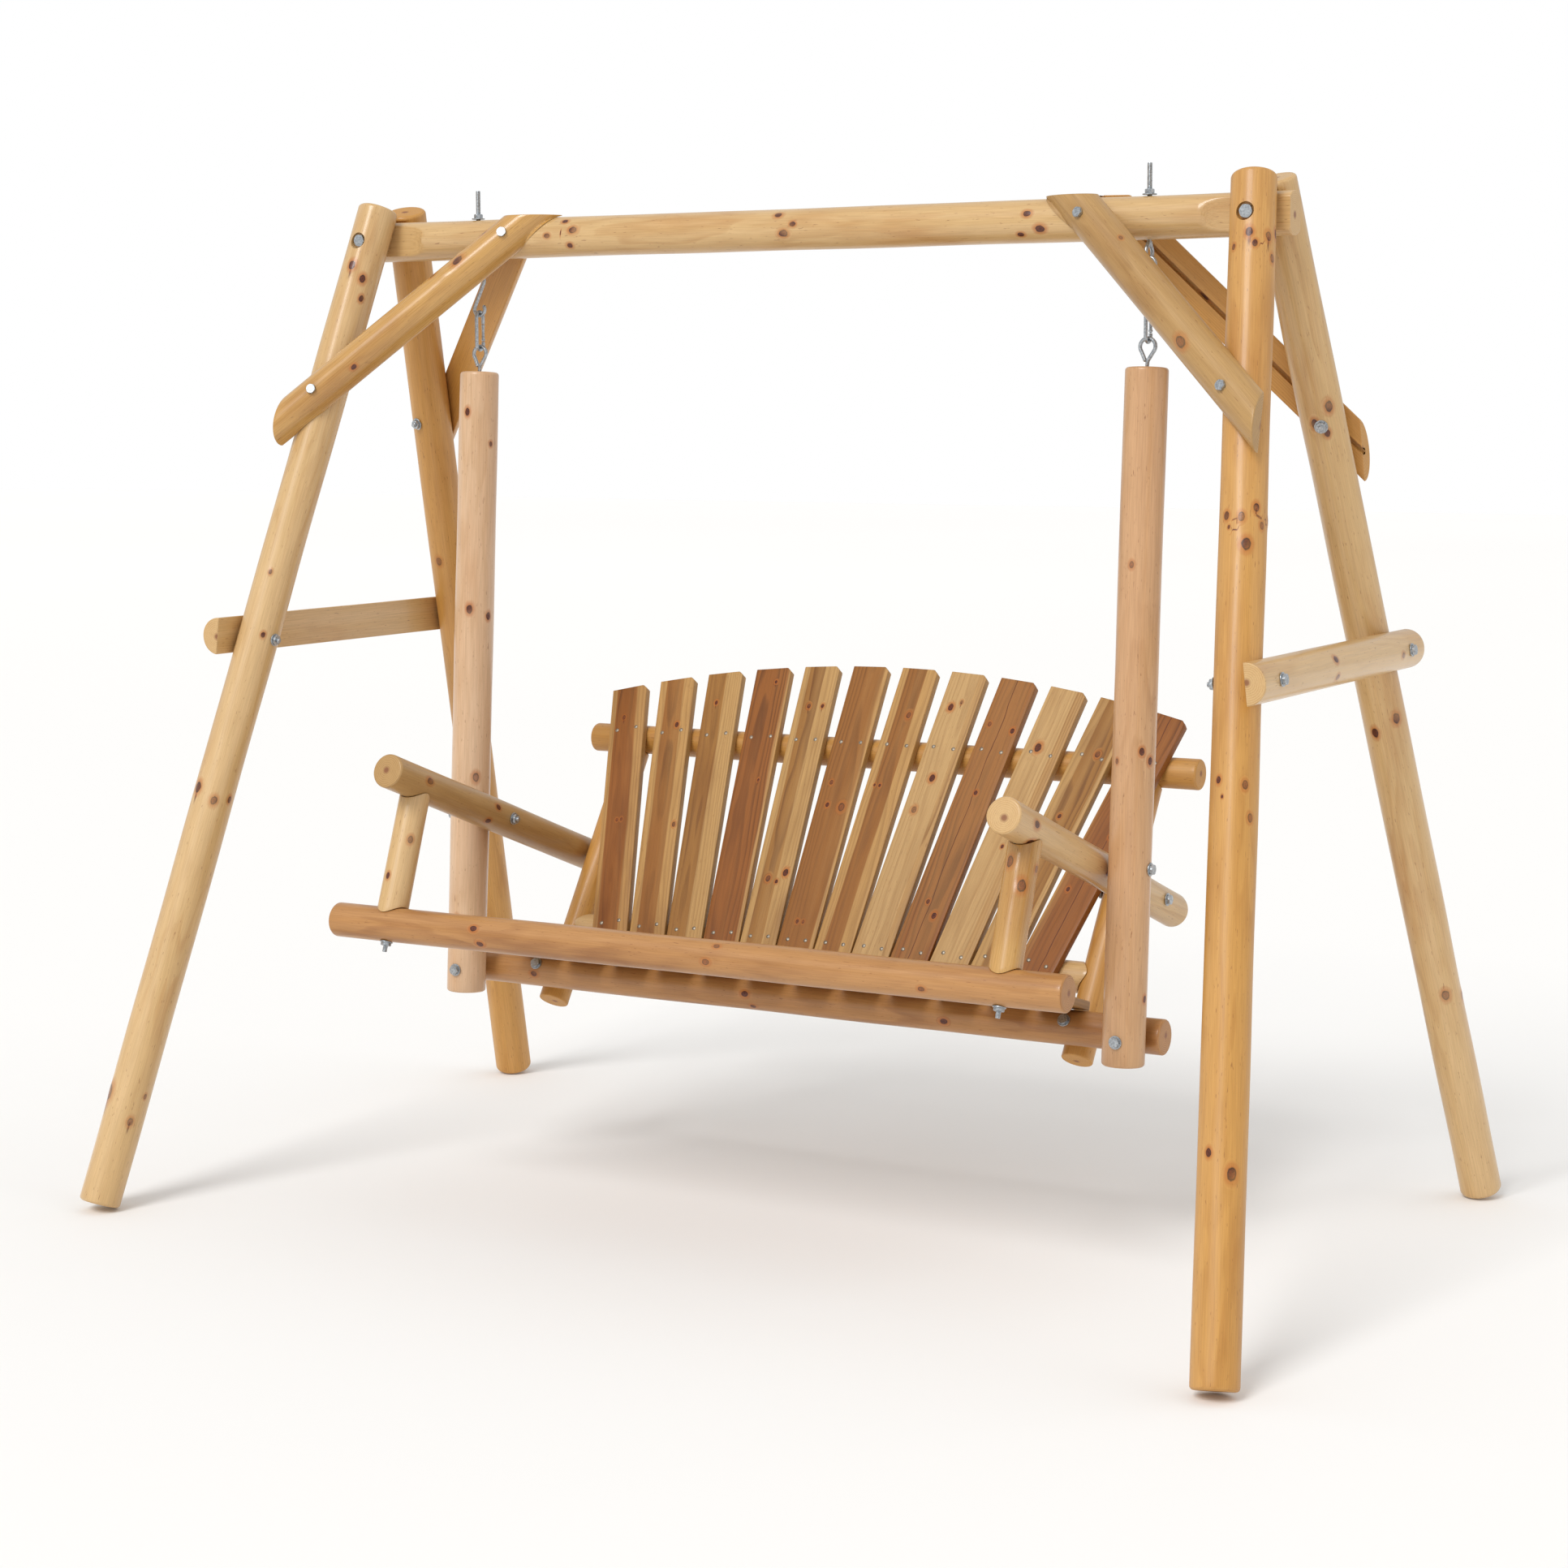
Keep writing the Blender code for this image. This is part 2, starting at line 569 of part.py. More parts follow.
def arm_crossings(place):
    """Distances along the armrest axis, rearward of the post, to the upright and to the arm support."""
    start = place["arm_at_post"]
    rearward = place["arm_rearward"]
    to_base = place["upright_base"] - start
    front = place["back_front"]
    upright = to_base.dot(front) / rearward.dot(front)
    support = (place["front_rail"] - start).dot(rearward)
    return upright, support


def build_arm(seat, place, side_name, side, front_clearance):
    x = place["arm_x"] * side
    upright, support = arm_crossings(place)
    start = place["arm_at_post"]
    rearward = place["arm_rearward"]
    front_end = at_x(start + rearward * (support - ARM_FRONT_OVERHANG), x)
    rear_end = at_x(start + rearward * (upright + ARM_REAR_OVERHANG), x)
    prism("armrest_" + side_name, round_profile(ARM_DIAMETER), front_end, rear_end, (1, 0, 0), PINE, seat)
    arm_clearance = prism("armrest_clearance_" + side_name, round_profile(ARM_DIAMETER + 2 * GAP),
                          front_end, rear_end, (1, 0, 0), None, seat)
    foot = at_x(place["front_rail"], x)
    top = at_x(start + rearward * support, x)
    support_post = prism("arm_support_" + side_name, round_profile(SUPPORT_DIAMETER), foot, top,
                         (1, 0, 0), PALE_PINE, seat)
    combine(support_post, front_clearance)
    combine(support_post, arm_clearance)


# ---- the slats, in the seat frame ----
def seat_plane(place):
    """Rearward direction and upward normal of the seat slats, and a point on their undersides."""
    rail_top = RAIL_DIAMETER / 2.0 + GAP
    reach = place["front_rail"] - place["lower_rail"]
    slope = math.atan2(reach.z, -reach.y) - math.asin((rail_top - SEAT_SLAT_SEAT) / reach.length)
    rearward = Vector((0.0, math.cos(slope), -math.sin(slope)))
    upward = Vector((0.0, math.sin(slope), math.cos(slope)))
    return rearward, upward, place["lower_rail"] + upward * rail_top


def build_seat_slats(seat, place, front_rail):
    rearward, upward, under = seat_plane(place)
    front = under + rearward * ((place["front_rail"].y + SEAT_SLAT_FRONT - under.y) / rearward.y)
    rear = under + rearward * ((place["lower_rail"].y + SEAT_SLAT_REAR - under.y) / rearward.y)
    half_width = place["arm_x"] - SUPPORT_DIAMETER / 2.0 - SEAT_SLAT_SIDE_GAP
    pitch = (2.0 * half_width + SEAT_SLAT_SPACE) / SLAT_COUNT
    profile = board_profile(pitch - SEAT_SLAT_SPACE, SLAT_THICKNESS)
    for k in range(SLAT_COUNT):
        x = (k - (SLAT_COUNT - 1) / 2.0) * pitch
        prism(f"seat_slat_{k + 1:02d}", profile, at_x(front, x), at_x(rear, x), (-1, 0, 0),
              FIR_TONES[k % 2], seat)
    rebate = board_profile(2.0 * (half_width + SEAT_SLAT_SIDE_GAP / 2.0), RAIL_DIAMETER)
    cutter = prism("slat_rebate", rebate, front - rearward * GAP - upward * GAP, rear - upward * GAP,
                   (-1, 0, 0), None, seat)
    combine(front_rail, cutter)


def build_back_slats(seat, place):
    """Twelve planks nailed to the two back rails, fanned out, their tops on an arch."""
    forward = UPRIGHT_DIAMETER / 2.0 + GAP
    spread = 2.0 * (place["upright_x"] - UPRIGHT_DIAMETER / 2.0 - BACK_SLAT_MARGIN)
    pitch = (spread + BACK_SLAT_SIDE_GAP) / SLAT_COUNT
    width = pitch - BACK_SLAT_SIDE_GAP
    profile = board_profile(width, SLAT_THICKNESS)
    up = place["back_up"]
    for k in range(SLAT_COUNT):
        step = k - (SLAT_COUNT - 1) / 2.0
        angle = math.radians(BACK_SLAT_FAN * step)
        rise = BACK_SLAT_TOP - BACK_SLAT_ARC * step ** 2 - BACK_SLAT_START
        lift = width / 2.0 * abs(math.sin(angle))
        foot = along_back(place, BACK_SLAT_START + lift, forward)
        start = at_x(foot, pitch * step / math.cos(angle))
        lean = Vector((math.tan(angle), 0.0, 0.0)) + up
        end = start + lean * (rise - lift)
        tone = FIR_TONES[(k + k // 5) % 2]
        prism(f"back_slat_{k + 1:02d}", profile, start, end, (-1, 0, 0), tone, seat)


def build_seat():
    seat = bpy.data.objects.new("seat_pivot", None)
    bpy.context.scene.collection.objects.link(seat)
    seat.location = (0.0, 0.0, hanger_heights()[3])
    seat.rotation_euler = (-math.radians(HANG_TILT), 0.0, 0.0)
    place = seat_layout()
    front_rail = build_seat_frame(seat, place)
    build_seat_slats(seat, place, front_rail)
    build_back_slats(seat, place)


def main():
    clear_scene()
    beam = build_stand()
    for side_name, side in SIDES.items():
        build_eye_bolt(side_name, side, beam)
        build_s_hook(side_name, side)
        build_snap_link(side_name, side)
    build_seat()


main()
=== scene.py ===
import json
import math

import bpy
import numpy as np
from mathutils import Matrix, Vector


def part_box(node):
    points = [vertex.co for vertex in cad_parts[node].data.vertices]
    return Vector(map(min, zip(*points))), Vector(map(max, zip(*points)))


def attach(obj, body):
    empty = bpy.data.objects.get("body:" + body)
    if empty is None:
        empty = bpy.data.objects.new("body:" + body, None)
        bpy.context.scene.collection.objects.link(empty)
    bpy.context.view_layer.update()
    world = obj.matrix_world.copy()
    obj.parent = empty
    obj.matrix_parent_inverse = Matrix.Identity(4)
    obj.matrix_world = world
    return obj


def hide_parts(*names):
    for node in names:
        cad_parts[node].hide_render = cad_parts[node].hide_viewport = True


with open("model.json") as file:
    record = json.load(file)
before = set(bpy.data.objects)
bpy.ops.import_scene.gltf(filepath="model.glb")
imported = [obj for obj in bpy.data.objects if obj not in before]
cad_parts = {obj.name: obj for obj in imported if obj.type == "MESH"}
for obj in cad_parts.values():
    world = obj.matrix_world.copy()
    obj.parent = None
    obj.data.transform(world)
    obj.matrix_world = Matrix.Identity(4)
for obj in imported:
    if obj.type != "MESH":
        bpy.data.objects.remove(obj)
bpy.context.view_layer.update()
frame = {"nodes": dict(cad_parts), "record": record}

# A log porch swing: peeled, lacquered pine logs, planed fir slats and zinc-plated hangers.
# Every piece takes its place from the CAD node that it stands for.

towardViewer = np.array([0.50, -0.86, 0.10])  # knots and tones are placed from this side


def unit(vector):
    vector = np.asarray(vector, float)
    return vector / np.linalg.norm(vector)


# ---------- reading the CAD nodes ----------
def readArray(collection, name, width, kind=np.float32):
    values = np.zeros(len(collection) * width, kind)
    collection.foreach_get(name, values)
    return values.reshape(-1, width) if width > 1 else values


def nodeFaces(name):
    mesh = frame["nodes"][name].data
    points = readArray(mesh.vertices, "co", 3).astype(float)
    normals = readArray(mesh.polygons, "normal", 3).astype(float)
    areas = readArray(mesh.polygons, "area", 1).astype(float)
    corners = np.array([tuple(face.vertices) for face in mesh.polygons])
    return points, normals, areas, corners


def nodeAxis(name, toward):
    # the long axis is square to every side face's normal n, so it is the direction that makes
    # the sum of area * (n . axis)^2 smallest; faces that lean away from it are dropped in turn
    points, normals, areas, corners = nodeFaces(name)
    keep = np.ones(len(areas), bool)
    for limit in (0.5, 0.1, 0.03, 0.01):
        spread = (normals[keep] * areas[keep, None]).T @ normals[keep]
        axis = np.linalg.eigh(spread)[1][:, 0]
        keep = np.abs(normals @ axis) < limit
    return axis * (1.0 if axis @ toward > 0 else -1.0), points, normals, areas, corners, keep


def logShape(name, toward):
    # circle through the side faces' corners, seen along the axis: u^2 + v^2 = 2 a u + 2 b v + c
    axis, points, normals, areas, corners, keep = nodeAxis(name, toward)
    across = unit(np.cross(axis, [0.3, 0.5, 0.8]))
    third = np.cross(axis, across)
    tags = np.round(normals @ across, 2) * 1000 + np.round(normals @ third, 2)
    index = np.unique(tags[keep], return_inverse=True)[1]
    share = np.bincount(index, weights=areas[keep]) / areas[keep].sum()
    flat = None
    if share.max() > 0.2:  # half a log: its flat side is far wider than one facet
        chosen = np.flatnonzero(keep)[index == share.argmax()]
        flat = unit(normals[chosen].mean(0))
        keep = keep & (normals @ flat < 0.9)
    rim = points[np.unique(corners[keep])]
    u, v = rim @ across, rim @ third
    for step in range(4):
        terms = np.stack([2 * u, 2 * v, np.ones(len(u))], 1)
        solved = np.linalg.lstsq(terms, u * u + v * v, rcond=None)[0]
        radius = math.sqrt(solved[2] + solved[0] ** 2 + solved[1] ** 2)
        near = np.hypot(u - solved[0], v - solved[1]) > radius * 0.985
        u, v = u[near], v[near]
    centre = across * solved[0] + third * solved[1]
    along = points @ axis
    side = -flat if flat is not None else unit(towardViewer - axis * (towardViewer @ axis))
    return {"origin": centre + axis * along.min(), "axis": axis, "side": side,
            "third": np.cross(axis, side), "length": along.max() - along.min(), "radius": radius,
            "half": flat is not None}


def boardShape(name, toward):
    # a plank's directions are the eigenvectors of the same sum: first along it, last through it
    points, normals, areas = nodeFaces(name)[:3]
    spread = (normals * areas[:, None]).T @ normals
    axes = np.linalg.eigh(spread)[1].T
    axis = axes[0] * (1.0 if axes[0] @ toward > 0 else -1.0)
    face = axes[2] * (1.0 if axes[2] @ (towardViewer + [0, 0, 1.5]) > 0 else -1.0)
    width = np.cross(face, axis)
    low = np.array([(points @ d).min() for d in (axis, width, face)])
    high = np.array([(points @ d).max() for d in (axis, width, face)])
    middle = (low + high) / 2.0
    length, across, through = high - low
    return {"origin": axis * low[0] + width * middle[1] + face * middle[2], "axis": axis, "side": width,
            "third": face, "length": length, "width": across, "thickness": through}


# ---------- making meshes ----------
def ringsToPart(rings, closedPath=False):
    # rings[row, column] is a grid on the surface; its columns close round, and a pole closes each end
    rows, columns = rings.shape[:2]
    points = rings.reshape(-1, 3)
    row = np.arange(rows if closedPath else rows - 1)[:, None]
    column = np.arange(columns)[None, :]
    following = (column + 1) % columns
    low, high = row * columns, (row + 1) % rows * columns
    faces = np.stack([low + column, low + following, high + following, high + column], -1).reshape(-1, 4)
    if closedPath:
        return points, [faces]
    column, following = column[0], following[0]
    count = len(points)
    last = (rows - 1) * columns
    points = np.vstack([points, rings[0].mean(0), rings[-1].mean(0)])
    start = np.stack([np.full(columns, count), following, column], 1)
    end = np.stack([np.full(columns, count + 1), last + column, last + following], 1)
    return points, [faces, start, end]


def joinParts(parts):
    shift, points, faces = 0, [], []
    for partPoints, partFaces in parts:
        points.append(partPoints)
        faces += [group + shift for group in partFaces]
        shift += len(partPoints)
    return np.vstack(points), faces


def addObject(name, points, groups):
    mesh = bpy.data.meshes.new(name)
    mesh.from_pydata(points.tolist(), [], [tuple(face) for group in groups for face in group.tolist()])
    added = bpy.data.objects.new(name, mesh)
    bpy.context.scene.collection.objects.link(added)
    return added


def makePiece(name, parts, body, material, replaced=(), sharp=38.0):
    piece = addObject(name, *joinParts(parts))
    piece.data.materials.append(material)
    smoothMesh(piece.data, sharp)
    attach(piece, body)
    if replaced:
        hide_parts(*replaced)
    return piece


def smoothMesh(mesh, sharp):
    mesh.shade_smooth()
    mesh.set_sharp_from_angle(angle=math.radians(sharp))


def drill(piece, start, direction, radius, columns=40):
    # cuts a round hole from start along direction, with the Boolean applied to the mesh
    ring = tube(start, unit(direction), [(0.0, radius), (np.linalg.norm(direction), radius)], columns)
    cutter = addObject("holeCutter", *ringsToPart(ring))
    modifier = piece.modifiers.new("hole", "BOOLEAN")
    modifier.operation, modifier.solver, modifier.object = "DIFFERENCE", "EXACT", cutter
    bpy.context.view_layer.update()
    done = bpy.data.meshes.new_from_object(piece.evaluated_get(bpy.context.evaluated_depsgraph_get()))
    piece.modifiers.remove(modifier)
    piece.data = done
    smoothMesh(done, 38.0)
    bpy.data.objects.remove(cutter)


def basis(direction):
    across = unit(np.cross(direction, [0.13, 0.21, 0.97] if abs(direction[2]) < 0.9 else [1.0, 0.1, 0.0]))
    return across, np.cross(direction, across)


def tube(start, direction, profile, columns, corners=0, turn=0.0):
    # ring k is start + direction * d[k] + r[k] * (cos a, sin a); with corners=6 the radius is cut by a
    # hexagon of the same half width: r / cos(a mod 60 deg - 30 deg), held under its chamfer
    across, third = basis(direction)
    angle = np.linspace(0, 2 * math.pi, columns, endpoint=False) + turn
    distance = np.array([row[0] for row in profile])[:, None]
    radius = np.array([row[1] for row in profile])[:, None] * np.ones(columns)
    if corners:
        wedge = math.pi / corners
        limit = np.array([row[2] for row in profile])[:, None]
        radius = np.minimum(radius / np.cos((angle % (2 * wedge)) - wedge), limit)
    ring = across * np.cos(angle)[:, None] + third * np.sin(angle)[:, None]
    return np.asarray(start, float) + direction * distance[..., None] + ring * radius[..., None]


def wireRings(path, normal, radius, columns=16, closed=False, roundEnds=True):
    # rings square to the path; normal is square to the path's plane
    path = np.asarray(path, float)
    radius = np.full(len(path), radius) if np.isscalar(radius) else np.asarray(radius)
    if closed:
        along = np.roll(path, -1, 0) - np.roll(path, 1, 0)
    else:
        along = np.gradient(path, axis=0)
    along /= np.linalg.norm(along, axis=1)[:, None]
    if roundEnds and not closed:
        angles = np.radians([75.0, 55.0, 32.0, 12.0])
        r0, r1 = radius[0], radius[-1]
        head = path[0] - along[0] * r0 * np.sin(angles)[:, None]
        tail = path[-1] + along[-1] * r1 * np.sin(angles[::-1])[:, None]
        path = np.vstack([head, path, tail])
        along = np.vstack([np.tile(along[0], (4, 1)), along, np.tile(along[-1], (4, 1))])
        radius = np.concatenate([r0 * np.cos(angles), radius, r1 * np.cos(angles[::-1])])
    third = np.cross(along, np.asarray(normal, float))
    angle = np.linspace(0, 2 * math.pi, columns, endpoint=False)
    ring = np.asarray(normal) * np.cos(angle)[:, None] + third[:, None, :] * np.sin(angle)[:, None]
    return path[:, None, :] + ring * radius[:, None, None]


def arcPath(centre, radius, first, last, steps, plane):
    angle = np.radians(np.linspace(first, last, steps))
    zero = np.zeros(steps)
    flat, up = radius * np.cos(angle), radius * np.sin(angle)
    columns = (flat, zero, up) if plane == "xz" else (zero, flat, up)
    return np.asarray(centre) + np.stack(columns, 1)


# ---------- wood surfaces ----------
def planeCut(shape, point, normal):
    # distance along the axis at which a line at (u, v) meets the plane
    def cut(u, v):
        offset = shape["side"] * u[..., None] + shape["third"] * v[..., None]
        reach = (np.asarray(point) - shape["origin"] - offset) @ normal
        return reach / (shape["axis"] @ normal)
    return cut


def squareCut(distance):
    return lambda u, v: distance + 0.0 * u


def saddleCut(shape, other, first, clearance=0.0003):
    # where a line at (u, v) meets the other log's cylinder: |(p - c) x d|^2 = R^2, first or second root
    def cut(u, v):
        line = (shape["origin"] + shape["side"] * u[..., None] + shape["third"] * v[..., None]
                - other["origin"])
        flat = np.cross(line, other["axis"])
        step = np.cross(shape["axis"], other["axis"])
        a = step @ step
        b = flat @ step
        c = (flat * flat).sum(-1) - (other["radius"] + clearance) ** 2
        root = np.sqrt(np.maximum(b * b - a * c, 0.0))
        return (-b - root) / a if first else (-b + root) / a
    return cut


def roundOutline(count=64):
    angle = np.linspace(0, 2 * math.pi, count, endpoint=False)
    return np.stack([np.cos(angle), np.sin(angle)], 1), np.zeros(2)


def halfOutline(kerf=0.0):
    # half a disc with its flat side on the axis, both corners eased, and a saw kerf down the flat
    angle = np.radians(np.linspace(-87, 87, 41))
    arc = np.stack([np.cos(angle), np.sin(angle)], 1)
    ease = np.array([[0.018, 0.99], [0.004, 0.975]])
    wall = 0.115  # half the kerf's width, as a share of the radius
    across = np.array([0.93, 0.75, 0.55, 0.35, 0.2, wall + 0.004, wall - 0.004, 0.05])
    across = np.concatenate([across, -across[::-1]])
    flat = np.stack([np.where(np.abs(across) < wall, kerf, 0.0), across], 1)
    return np.vstack([arc, ease, flat, ease[::-1] * [1, -1]]), np.array([0.42, 0.0])


def plankOutline(width, thickness, ease):
    # rectangle with quarter-round corners, u across and v through
    steps = np.radians(np.linspace(0, 90, 4))
    halfU, halfV = width / 2 - ease, thickness / 2 - ease
    corners = []
    for k, (signU, signV) in enumerate(((1, 1), (-1, 1), (-1, -1), (1, -1))):
        angle = steps + math.pi / 2 * k
        u, v = signU * halfU + ease * np.cos(angle), signV * halfV + ease * np.sin(angle)
        corners.append(np.stack([u, v], 1))
    outline = []
    for k in range(4):
        outline.append(corners[k])
        nextCorner = corners[(k + 1) % 4][0]
        pieces = 9 if k in (0, 2) else 1
        mix = np.linspace(0, 1, pieces + 2)[1:-1, None]
        outline.append(corners[k][-1] * (1 - mix) + nextCorner * mix)
    return np.vstack(outline), np.zeros(2)


def sweepWood(shape, outline, centre, low, high, ease, rows, wave=None):
    # every line of the outline runs from the start cut to the end cut: axial = low (1 - t) + high t;
    # each end edge is a quarter round, inset ease (1 - sin a) and sunk ease (1 - cos a), closed to a pole
    size = np.abs(outline - centre).max(0)
    turn = np.radians([0, 22, 45, 68])
    inner = np.array([0.3, 0.6, 0.85])[:, None] * (1 - ease / size)
    caps = np.vstack([inner, 1 - ease / size * (1 - np.sin(turn))[:, None]])
    sink = np.concatenate([np.zeros(3), ease * (1 - np.cos(turn))])
    t = np.linspace(0, 1, rows)
    scale = np.vstack([caps, np.ones((rows, 2)), caps[::-1]])
    blend = np.concatenate([np.zeros(7), t, np.ones(7)])
    depth = np.concatenate([sink, ease * (1 - 2 * t), -sink[::-1]])
    flat = centre + (outline - centre)[None] * scale[:, None]
    u, v = flat[..., 0], flat[..., 1]
    if wave is not None:
        factor = wave(np.arctan2(v, u), blend[:, None])
        u, v = u * factor, v * factor
    start, end = low(u, v), high(u, v)
    axial = start * (1 - blend[:, None]) + end * blend[:, None] + depth[:, None]
    return (shape["origin"] + shape["side"] * u[..., None] + shape["third"] * v[..., None]
            + shape["axis"] * axial[..., None])


def peeledWave(seed, length, radius, knots, rough=0.5):
    # hand-peeled stems: radius times 1 - hollow + a few slow waves round and along, and a low swelling at
    # each knot; all of it stays within about a millimetre of the turned size
    rng = np.random.default_rng(seed)
    count = 7
    around = rng.integers(1, 5, count)
    along = rng.uniform(-1, 1, count) * length * 3.2
    phase = rng.uniform(0, 2 * math.pi, count)
    height = rng.uniform(0.3, 1.0, count) * rough * 0.00042

    def wave(angle, t):
        change = np.full(np.broadcast(angle, t).shape, -0.0008)
        for k in range(count):
            turns = around[k] * angle + 2 * math.pi * along[k] * t + phase[k]
            change = change + height[k] * np.cos(turns)
        for place, turn, knotSize, resin in knots:
            away = (angle - turn + math.pi) % (2 * math.pi) - math.pi
            square = ((t - place) * length) ** 2 + (away * radius) ** 2
            change = change + 0.0009 * np.exp(-square / (1.6 * knotSize) ** 2)
        return 1 + change / radius
    return wave


def paintWood(piece, shape, knots, seed, pith, isBoard=False):
    # grain is (u, v, w) in metres in the log's own frame, measured from its pith; knotA, knotB and
    # knotC hold the offset to the nearest knot of that set divided by its size, and 1 where one is near,
    # or 2 where it also has a resin tail; cut is 1 on ends
    mesh = piece.data
    points = readArray(mesh.vertices, "co", 3).astype(float) - shape["origin"]
    u, v, w = points @ shape["side"], points @ shape["third"], points @ shape["axis"]
    rng = np.random.default_rng(seed + 900)
    grain = np.stack([u - pith[0], v - pith[1], w + rng.uniform(0, 40)], 1)
    setAttribute(mesh, "grain", "FLOAT_VECTOR", "POINT", grain)
    for k, name in enumerate(("knotA", "knotB", "knotC")):
        values = np.zeros((len(points), 3))
        nearest = np.full(len(points), 1e9)
        for place, turn, knotSize, resin in knots[k::3]:
            along = w - place * shape["length"]
            if isBoard:
                across = u - turn
            else:
                away = (np.arctan2(v, u) - turn + math.pi) % (2 * math.pi) - math.pi
                across = away * shape["radius"]
            distance = np.hypot(along, across)
            closer = distance < nearest
            near = (distance < 5.0 * knotSize + 0.008) * (2.0 if resin else 1.0)
            fresh = np.stack([across / knotSize, along / knotSize, near], 1)
            values[closer] = fresh[closer]
            nearest = np.minimum(nearest, distance)
        setAttribute(mesh, name, "FLOAT_VECTOR", "POINT", values)
    normals = readArray(mesh.polygons, "normal", 3)
    ends = (np.abs(normals @ shape["axis"]) > 0.62).astype(np.float32)
    setAttribute(mesh, "cut", "FLOAT", "FACE", ends)


def setAttribute(mesh, name, kind, domain, values):
    old = mesh.attributes.get(name)
    if old:
        mesh.attributes.remove(old)
    made = mesh.attributes.new(name, kind, domain)
    made.data.foreach_set("vector" if kind == "FLOAT_VECTOR" else "value", values.astype(np.float32).ravel())


# ---------- materials ----------
def linear(hexText):
    # sRGB hex to linear: ((c + 0.055) / 1.055)^2.4, or c / 12.92 near black
    values = [int(hexText[k:k + 2], 16) / 255 for k in (0, 2, 4)]
    return tuple(c / 12.92 if c <= 0.04045 else ((c + 0.055) / 1.055) ** 2.4 for c in values) + (1.0,)


def addNode(tree, kind, inputs=None, **settings):
    made = tree.nodes.new(kind)
    for key, value in settings.items():
        setattr(made, key, value)
    for key, value in (inputs or {}).items():
        if isinstance(value, bpy.types.NodeSocket):
            tree.links.new(value, made.inputs[key])
        else:
            made.inputs[key].default_value = value
    return made


def setRamp(node, stops, smooth=False):
    ramp = node.color_ramp
    ramp.interpolation = "EASE" if smooth else "LINEAR"
    while len(ramp.elements) > 1:
        ramp.elements.remove(ramp.elements[-1])
    for k, (place, colour) in enumerate(stops):
        stop = ramp.elements[0] if k == 0 else ramp.elements.new(place)
        stop.position = place
        stop.color = colour
    return node


# Pine logs, peeled and lacquered: a clear varnish over smooth sapwood that shows broad soft growth-ring
# patches, short resin flecks and whorls of red-brown knots, with sharp highlights along each log
pineLooks = {
    "honeyPine": {"early": "c6924a", "sap": "d3a469", "late": "ad7632", "stain": "a36722",
                 "stainShare": 0.45, "gloss": 0.42, "coat": 0.14},
    "palePine": {"early": "ceaa75", "sap": "dcbd92", "late": "b98c54", "stain": "b57e40",
                 "stainShare": 0.45, "gloss": 0.34, "coat": 0.32},
    "duskyPine": {"early": "b58f59", "sap": "c6a373", "late": "9a733f", "stain": "8f632e",
                 "stainShare": 0.45, "gloss": 0.38, "coat": 0.2},
    "blushPine": {"early": "d5b18d", "sap": "e0c3a4", "late": "c59c71", "stain": "bb8757",
                 "stainShare": 0.4, "gloss": 0.32, "coat": 0.32},
    "rosyPine": {"early": "c99e72", "sap": "d4a780", "late": "ad7e4e", "stain": "9d6a39",
                 "stainShare": 0.45, "gloss": 0.34, "coat": 0.28},
    "tawnyPine": {"early": "b5824b", "sap": "c4935f", "late": "905b2d", "stain": "814c21",
                 "stainShare": 0.5, "gloss": 0.34, "coat": 0.25},
    "amberPine": {"early": "c69855", "sap": "d4ad70", "late": "a57437", "stain": "976026",
                 "stainShare": 0.5, "gloss": 0.26, "coat": 0.45},
}
# Fir slats, planed and thinly varnished: straight grain, more colour from board to board,
# a satin surface with fine lengthwise fibres
firLooks = {
    "paleFir": {"early": "b48c58", "sap": "bf9b68", "late": "8a6033", "stain": "97672f", "stainShare": 0.4,
                "gloss": 0.48, "coat": 0.06},
    "tanFir": {"early": "996b33", "sap": "ba935c", "late": "6f451c", "stain": "774819", "stainShare": 0.45,
               "gloss": 0.48, "coat": 0.06},
    "goldenFir": {"early": "935f28", "sap": "b98f56", "late": "6a3f15", "stain": "6c3d12", "stainShare": 0.5,
                  "gloss": 0.48, "coat": 0.06},
    "redFir": {"early": "905722", "sap": "b78c54", "late": "673a12", "stain": "68370f", "stainShare": 0.5,
               "gloss": 0.46, "coat": 0.06},
}
woodDetail = {
    "pine": {"ring": 0.0036, "drift": 0.016, "lateShare": 0.42, "fleckShare": 0.55, "shine": 0.5,
             "sapShare": 0.30},
    "fir": {"ring": 0.0044, "drift": 0.014, "lateShare": 0.66, "fleckShare": 0.35, "shine": 0.3,
            "sapShare": 0.25},
}
knotColours = {"heart": "4c2008", "body": "6e2c08", "rim": "2c0d02", "halo": "ad5f1c", "resin": "522005",
               "red": "92481c", "pith": "7c4220"}


